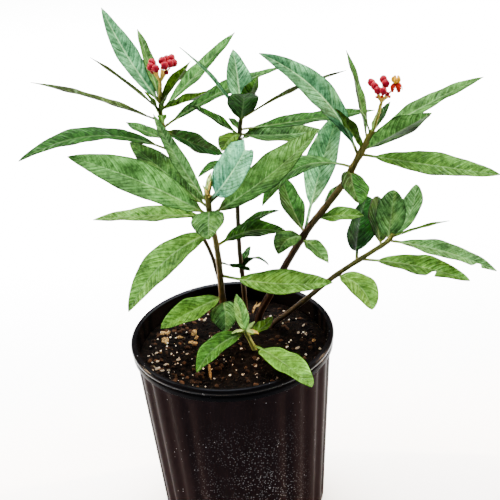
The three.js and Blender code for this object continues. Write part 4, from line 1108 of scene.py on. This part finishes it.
# Each leaf is rooted at the first stop along its stem that is as high as its joint.
for name, stem in STEMS.items():
    route = rooted(stem["route"])
    stops = [along_route(route, share) for share in np.linspace(0, 1, STEM_STOPS)]
    skins = [stem_skin(stem)]
    for row in stem["leaves"] + stem.get("tip_leaves", []):
        root = next((stop for stop in stops if stop[2] >= row[0]), stops[-1])
        skins.append(leaf(root, row))
    made = grown_piece(name + "_looks", skins, [leaf_skin, stem_bark])
    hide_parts(name)
    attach(made, "root")


# Flower umbels.
# Each tops its stem: a short peduncle, and thin pedicels that spread from its end to buds of five
# furled petals. The buds are waxy crimson, and the yellow-green of the pedicels turns orange at them.
PEDUNCLE_RADIUS = 1.5
PEDICEL_RADIUS = 0.75
PEDICEL_BEND = 1.5
STALK_SIDES = 9
BUD_RADIUS = 3
BUD_LENGTH = 6.8
BUD_SIDES = 20
BUD_RINGS = 13
FURL_DEPTH = 0.07
FURL_TWIST = 0.5

# The end of each stem, the end of its peduncle, and each bud: how far it is from there, and its size.
UMBELS = {
    "flower_umbel_left": {
        "top": (-42, 72, 346.6),
        "hub": (-41, 72, 358),
        "buds": [(-5, 2, 17, 1), (-6, -6, 17, 1), (-2, -10, 17, 1), (-5, -2, 11, 0.6), (3, 4, 17, 1),
                 (6, 11, 15, 1), (5, -8, 18, 1), (10, 8, 17, 1), (12, 0, 16, 1), (9, -5, 18, 1),
                 (6, -8, 12, 0.6)],
    },
    "flower_umbel_right": {
        "top": (123, 35, 320.6),
        "hub": (130, 35, 343),
        "buds": [(-7, 3, 17, 1), (-5, -4, 17, 1), (-3, -8, 15, 1), (1, -10, 15, 1), (3, 7, 17, 1),
                 (4, -1, 17, 1), (4, -9, 12, 0.6)],
        "unripe": [(0, -7, 9, 0.4), (6, -6, 8, 0.4), (-4, -5, 8, 0.35)],
    },
}
OPEN_FLOWER = (12, -1, 16)
SEAT_DEPTH = 0.6


def bud_skin(middle, outward, size, seed, low_colour="#7d1112", high_colour="#6a081a"):
    """A bud: five furled petals that twist a little. A smaller one is darker."""
    across = unit(np.cross(outward, (0.3, 0.9, 0.1)))
    upright = np.cross(outward, across)
    low, high = np.array(linear(low_colour)), np.array(linear(high_colour))
    rings, colours = [], []
    for along in np.linspace(0, 1, BUD_RINGS):
        bulge = math.sin(math.pi * min(1, 0.03 + 0.95 * along)) ** 0.5 * (1.1 - 0.1 * along)
        centre = middle + outward * BUD_LENGTH * size * (along - 0.5)
        ring = []
        for corner in range(BUD_SIDES):
            angle = 2 * math.pi * corner / BUD_SIDES
            furl = 1 + FURL_DEPTH * math.cos(5 * (angle + FURL_TWIST * along) + seed)
            reach = BUD_RADIUS * size * bulge * furl
            ring.append(centre + reach * (across * math.cos(angle) + upright * math.sin(angle)))
        rings.append(ring)
        colours += [tuple((low + (high - low) * min(1, 2.2 * along)) * size)] * BUD_SIDES
    return skin_of(*lofted(rings), colours)


def stalk_skin(points, radius, low_colour, high_colour):
    """A thin round stalk through its points, coloured from one end to the other."""
    low, high = np.array(linear(low_colour)), np.array(linear(high_colour))
    colours = [tuple(low + (high - low) * share) for share in np.linspace(0, 1, len(points))
               for _ in range(STALK_SIDES)]
    return skin_of(*lofted(tube(points, [radius] * len(points), STALK_SIDES)), colours, 1)


def arched(start, bend, end):
    """Points of an arc from start to end, drawn towards a bend."""
    return [start * (1 - share) ** 2 + 2 * bend * share * (1 - share) + end * share ** 2
            for share in np.linspace(0, 1, 9)]


def carried_bud(hub, offset, size, seed, radius, stalk_end, *colours):
    """The skins of a pedicel, which arches up a little, and of the bud at its end."""
    bend = hub + 0.5 * offset + (0, 0, PEDICEL_BEND)
    return [stalk_skin(arched(hub, bend, hub + offset), radius, "#8a8238", stalk_end),
            bud_skin(hub + offset, unit(offset), size, seed, *colours)]


# Petal skin: waxy, crimson to scarlet, with a soft lengthwise grain.
petal_skin, tree = new_finish("waxy_petal")
place = add(tree, "ShaderNodeTexCoord").outputs["Object"]
tone = add(tree, "ShaderNodeAttribute", attribute_name="tone").outputs["Color"]
blush = add(tree, "ShaderNodeTexNoise", {"Vector": place, "Scale": 1 / (1.6 * MM), "Detail": 2})
shade = add(tree, "ShaderNodeMapRange", {"Value": blush.outputs[0], "From Min": 0.3, "From Max": 0.7,
                                         "To Min": 0.75, "To Max": 1.3})
blushed = add(tree, "ShaderNodeVectorMath", {0: tone, "Scale": shade.outputs[0]}, operation="SCALE")
furled = add(tree, "ShaderNodeBsdfPrincipled", {"Base Color": blushed.outputs[0], "Roughness": 0.4,
                                                "Specular IOR Level": 0.05})
add(tree, "ShaderNodeOutputMaterial", {"Surface": furled.outputs[0]})

for name, umbel in UMBELS.items():
    hub, top = np.array(umbel["hub"], float), np.array(umbel["top"], float)
    skins = [stalk_skin([top + (hub - top) * share for share in np.linspace(0, 1, 5)], PEDUNCLE_RADIUS,
                        "#5a632c", "#8a8238")]
    for seed, (*offset, size) in enumerate(umbel["buds"]):
        skins += carried_bud(hub, np.array(offset, float), size, seed, PEDICEL_RADIUS, "#b0883a")
    for *offset, size in umbel.get("unripe", []):
        skins += carried_bud(hub, np.array(offset, float), size, 0, 0.8 * PEDICEL_RADIUS, "#b8742a",
                             "#d88a20", "#e0501a")

    # The pedicel of the open flower ends just under its disc.
    if name == "flower_umbel_right":
        seat = np.array(OPEN_FLOWER, float) - (0, 0, SEAT_DEPTH)
        skins.append(stalk_skin(arched(hub, hub + 0.6 * seat, hub + seat), PEDICEL_RADIUS, "#8a8238",
                                "#b8742a"))
    made = grown_piece(name + "_looks", skins, [petal_skin, stem_bark])
    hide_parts(name)
    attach(made, "root")


# Open flower.
# Five scarlet petals bent back round the pedicel from a small disc, and above them the crown of five
# yellow-orange hoods round the column.
PETALS = 5
DISC_RADIUS = 2.2
DISC_THICKNESS = 1.0
PETAL_LENGTH = 7.5
PETAL_WIDTH = 4.2
PETAL_THICKNESS = 0.5
PETAL_CUP = 0.25
CROWN_HEIGHT = 5
CROWN_RADIUS = 1.8
CROWN_GAP = 0.3
HOOD_RADIUS = 1.25
HOOD_SIDES = 14
FLOWER_RINGS = 12
flower_seat = np.array(UMBELS["flower_umbel_right"]["hub"], float) + OPEN_FLOWER


def turned_about(corners, angle, middle):
    """Corners turned round the upright through a middle."""
    spin = np.array([(math.cos(angle), -math.sin(angle), 0), (math.sin(angle), math.cos(angle), 0),
                     (0, 0, 1)])
    return [middle + spin @ np.array(corner, float) for corner in corners]


def coloured(corners, faces, colour):
    """A skin of one colour."""
    return skin_of(corners, faces, [linear(colour)] * len(corners))


disc = turned([(0, 0), (DISC_RADIUS, 0), (DISC_RADIUS + 0.2, 0.5), (DISC_RADIUS, DISC_THICKNESS),
               (0, DISC_THICKNESS)], 30)
skins = [coloured(turned_about(disc[0], 0, flower_seat), disc[1], "#7a1f08")]
for petal in range(PETALS):
    rings = []
    for along in np.linspace(0, 1, FLOWER_RINGS):
        angle = math.radians(20 - 115 * along)
        out = 1.2 + PETAL_LENGTH * 0.42 * math.sin(along * 1.9)
        drop = 0.5 - PETAL_LENGTH * 0.8 * along ** 1.6
        half = PETAL_WIDTH / 2 * (0.55 + 0.6 * math.sin(math.pi * along ** 0.8))
        inward = np.array((math.sin(angle), 0, -math.cos(angle)))
        top = [np.array((out, half * side, drop)) - inward * (PETAL_CUP * (1 - side ** 2))
               for side in np.linspace(1, -1, 7)]
        rings.append([corner - inward * PETAL_THICKNESS / 2 for corner in top]
                     + [corner + inward * PETAL_THICKNESS / 2 for corner in top[::-1]])
    corners, faces = lofted(rings)
    corners = turned_about(corners, 2 * math.pi * petal / PETALS, flower_seat)
    skins.append(coloured(corners, faces, "#780f05"))
corolla = grown_piece("open_flower_petals_looks", skins, [petal_skin])
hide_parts("open_flower_petals")
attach(corolla, "root")

crown_seat = flower_seat + (0, 0, DISC_THICKNESS + CROWN_GAP)
column_height = 0.7 * CROWN_HEIGHT
column = turned([(0, 0), (CROWN_RADIUS, 0), (CROWN_RADIUS * 0.8, 0.5 * column_height),
                 (CROWN_RADIUS, 0.9 * column_height), (CROWN_RADIUS * 0.7, column_height),
                 (0, column_height)], 30)
skins = [coloured(turned_about(column[0], 0, crown_seat), column[1], "#a66200")]
for hood in range(PETALS):
    rings = []
    for along in np.linspace(0, 1, FLOWER_RINGS):
        reach = 1.2 * HOOD_RADIUS * math.sin(math.pi * (0.06 + 0.9 * along)) ** 0.45
        lean = CROWN_RADIUS + 0.3 + 0.42 * math.sin(math.pi * along)
        ring = []
        for corner in range(HOOD_SIDES):
            angle = 2 * math.pi * corner / HOOD_SIDES
            scoop = 0.75 if math.cos(angle) < 0 else 1.0
            ring.append((lean + reach * scoop * math.cos(angle), reach * math.sin(angle),
                         0.2 + CROWN_HEIGHT * along))
        rings.append(ring)
    corners, faces = lofted(rings)
    corners = turned_about(corners, 2 * math.pi * (hood + 0.5) / PETALS, crown_seat)
    skins.append(coloured(corners, faces, "#a67c00"))
crown = grown_piece("open_flower_crown_looks", skins, [petal_skin])
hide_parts("open_flower_crown")
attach(crown, "root")


# Studio.
# A pale sheet of paper under the pot, soft light from large boxes, and the camera of the photograph,
# which looks down at the plant by 30 degrees and leans a little.
paper, tree = new_finish("studio_paper")
grain = add(tree, "ShaderNodeTexNoise", {"Scale": 40.0})
tint = add(tree, "ShaderNodeMix", {0: grain.outputs[0], 6: linear("#f4f4f4"), 7: linear("#fbfbfb")},
           data_type="RGBA")
sheet = add(tree, "ShaderNodeBsdfPrincipled", {"Base Color": tint.outputs[2], "Roughness": 0.9,
                                               "Specular IOR Level": 0.1})
add(tree, "ShaderNodeOutputMaterial", {"Surface": sheet.outputs[0]})
floor = object_of("floor", [(-4000, -3000, 0), (4000, -3000, 0), (4000, 6000, 0), (-4000, 6000, 0)],
                  [(0, 1, 2, 3)])
floor.data.materials.append(paper)

world = bpy.data.worlds.new("studio")
world.use_nodes = True
world.node_tree.nodes["Background"].inputs["Color"].default_value = linear("#ffffff")
world.node_tree.nodes["Background"].inputs["Strength"].default_value = 0.6
bpy.context.scene.world = world

# The wide box over the plant is its main light, and the one behind it only whitens the paper. A narrow
# warm strip at each side draws the lines of gloss down the flutes of the pot. Each light is: its
# place, what it faces, its width and length, its watts, how many degrees it fans out by, its colour.
LIGHTS = {
    "over_plant": ((-0.15, 0.05, 1.9), (0.02, 0.02, 0.25), 0.8, 0.8, 78, 180, "#ffffff"),
    "over_paper": ((0, 0.75, 0.95), (0, 0.75, 0), 2.4, 1.0, 175, 100, "#ffffff"),
    "left_strip": ((-1.1, 0.3, 0.4), (0, 0, 0.08), 0.03, 0.6, 3.5, 25, "#ffd9ae"),
    "right_strip": ((1.1, 0.3, 0.4), (0, 0, 0.08), 0.03, 0.6, 3.5, 25, "#ffd9ae"),
}
for name, (place, target, width, length, watts, fan, colour) in LIGHTS.items():
    light = bpy.data.lights.new(name, "AREA")
    light.shape = "RECTANGLE"
    light.size = width
    light.size_y = length
    light.energy = watts
    light.spread = math.radians(fan)
    light.color = linear(colour)[:3]
    box = bpy.data.objects.new(name, light)
    box.location = place
    box.rotation_euler = (Vector(target) - Vector(place)).to_track_quat("-Z", "Y").to_euler()
    bpy.context.scene.collection.objects.link(box)

# The camera's place, pitch, roll and focal length are those that fit the ellipse of the pot's rim.
CAMERA_PLACE = (0.0196, -1.1786, 0.9207)
CAMERA_PITCH = math.radians(29.97)
CAMERA_ROLL = math.radians(4.39)
FOCAL_PIXELS = 1725
IMAGE_PIXELS = 500
SENSOR_WIDTH = 36
ahead = Vector((0, math.cos(CAMERA_PITCH), -math.sin(CAMERA_PITCH)))
level = Vector((1, 0, 0))
over = level.cross(ahead)
right = math.cos(CAMERA_ROLL) * level - math.sin(CAMERA_ROLL) * over
above = math.sin(CAMERA_ROLL) * level + math.cos(CAMERA_ROLL) * over
turn = Matrix((right, above, -ahead)).transposed().to_4x4()
lens = bpy.data.cameras.new("camera")
lens.sensor_width = SENSOR_WIDTH
lens.lens = FOCAL_PIXELS / IMAGE_PIXELS * SENSOR_WIDTH
camera = bpy.data.objects.new("camera", lens)
camera.matrix_world = Matrix.Translation(CAMERA_PLACE) @ turn
bpy.context.scene.collection.objects.link(camera)
bpy.context.scene.camera = camera
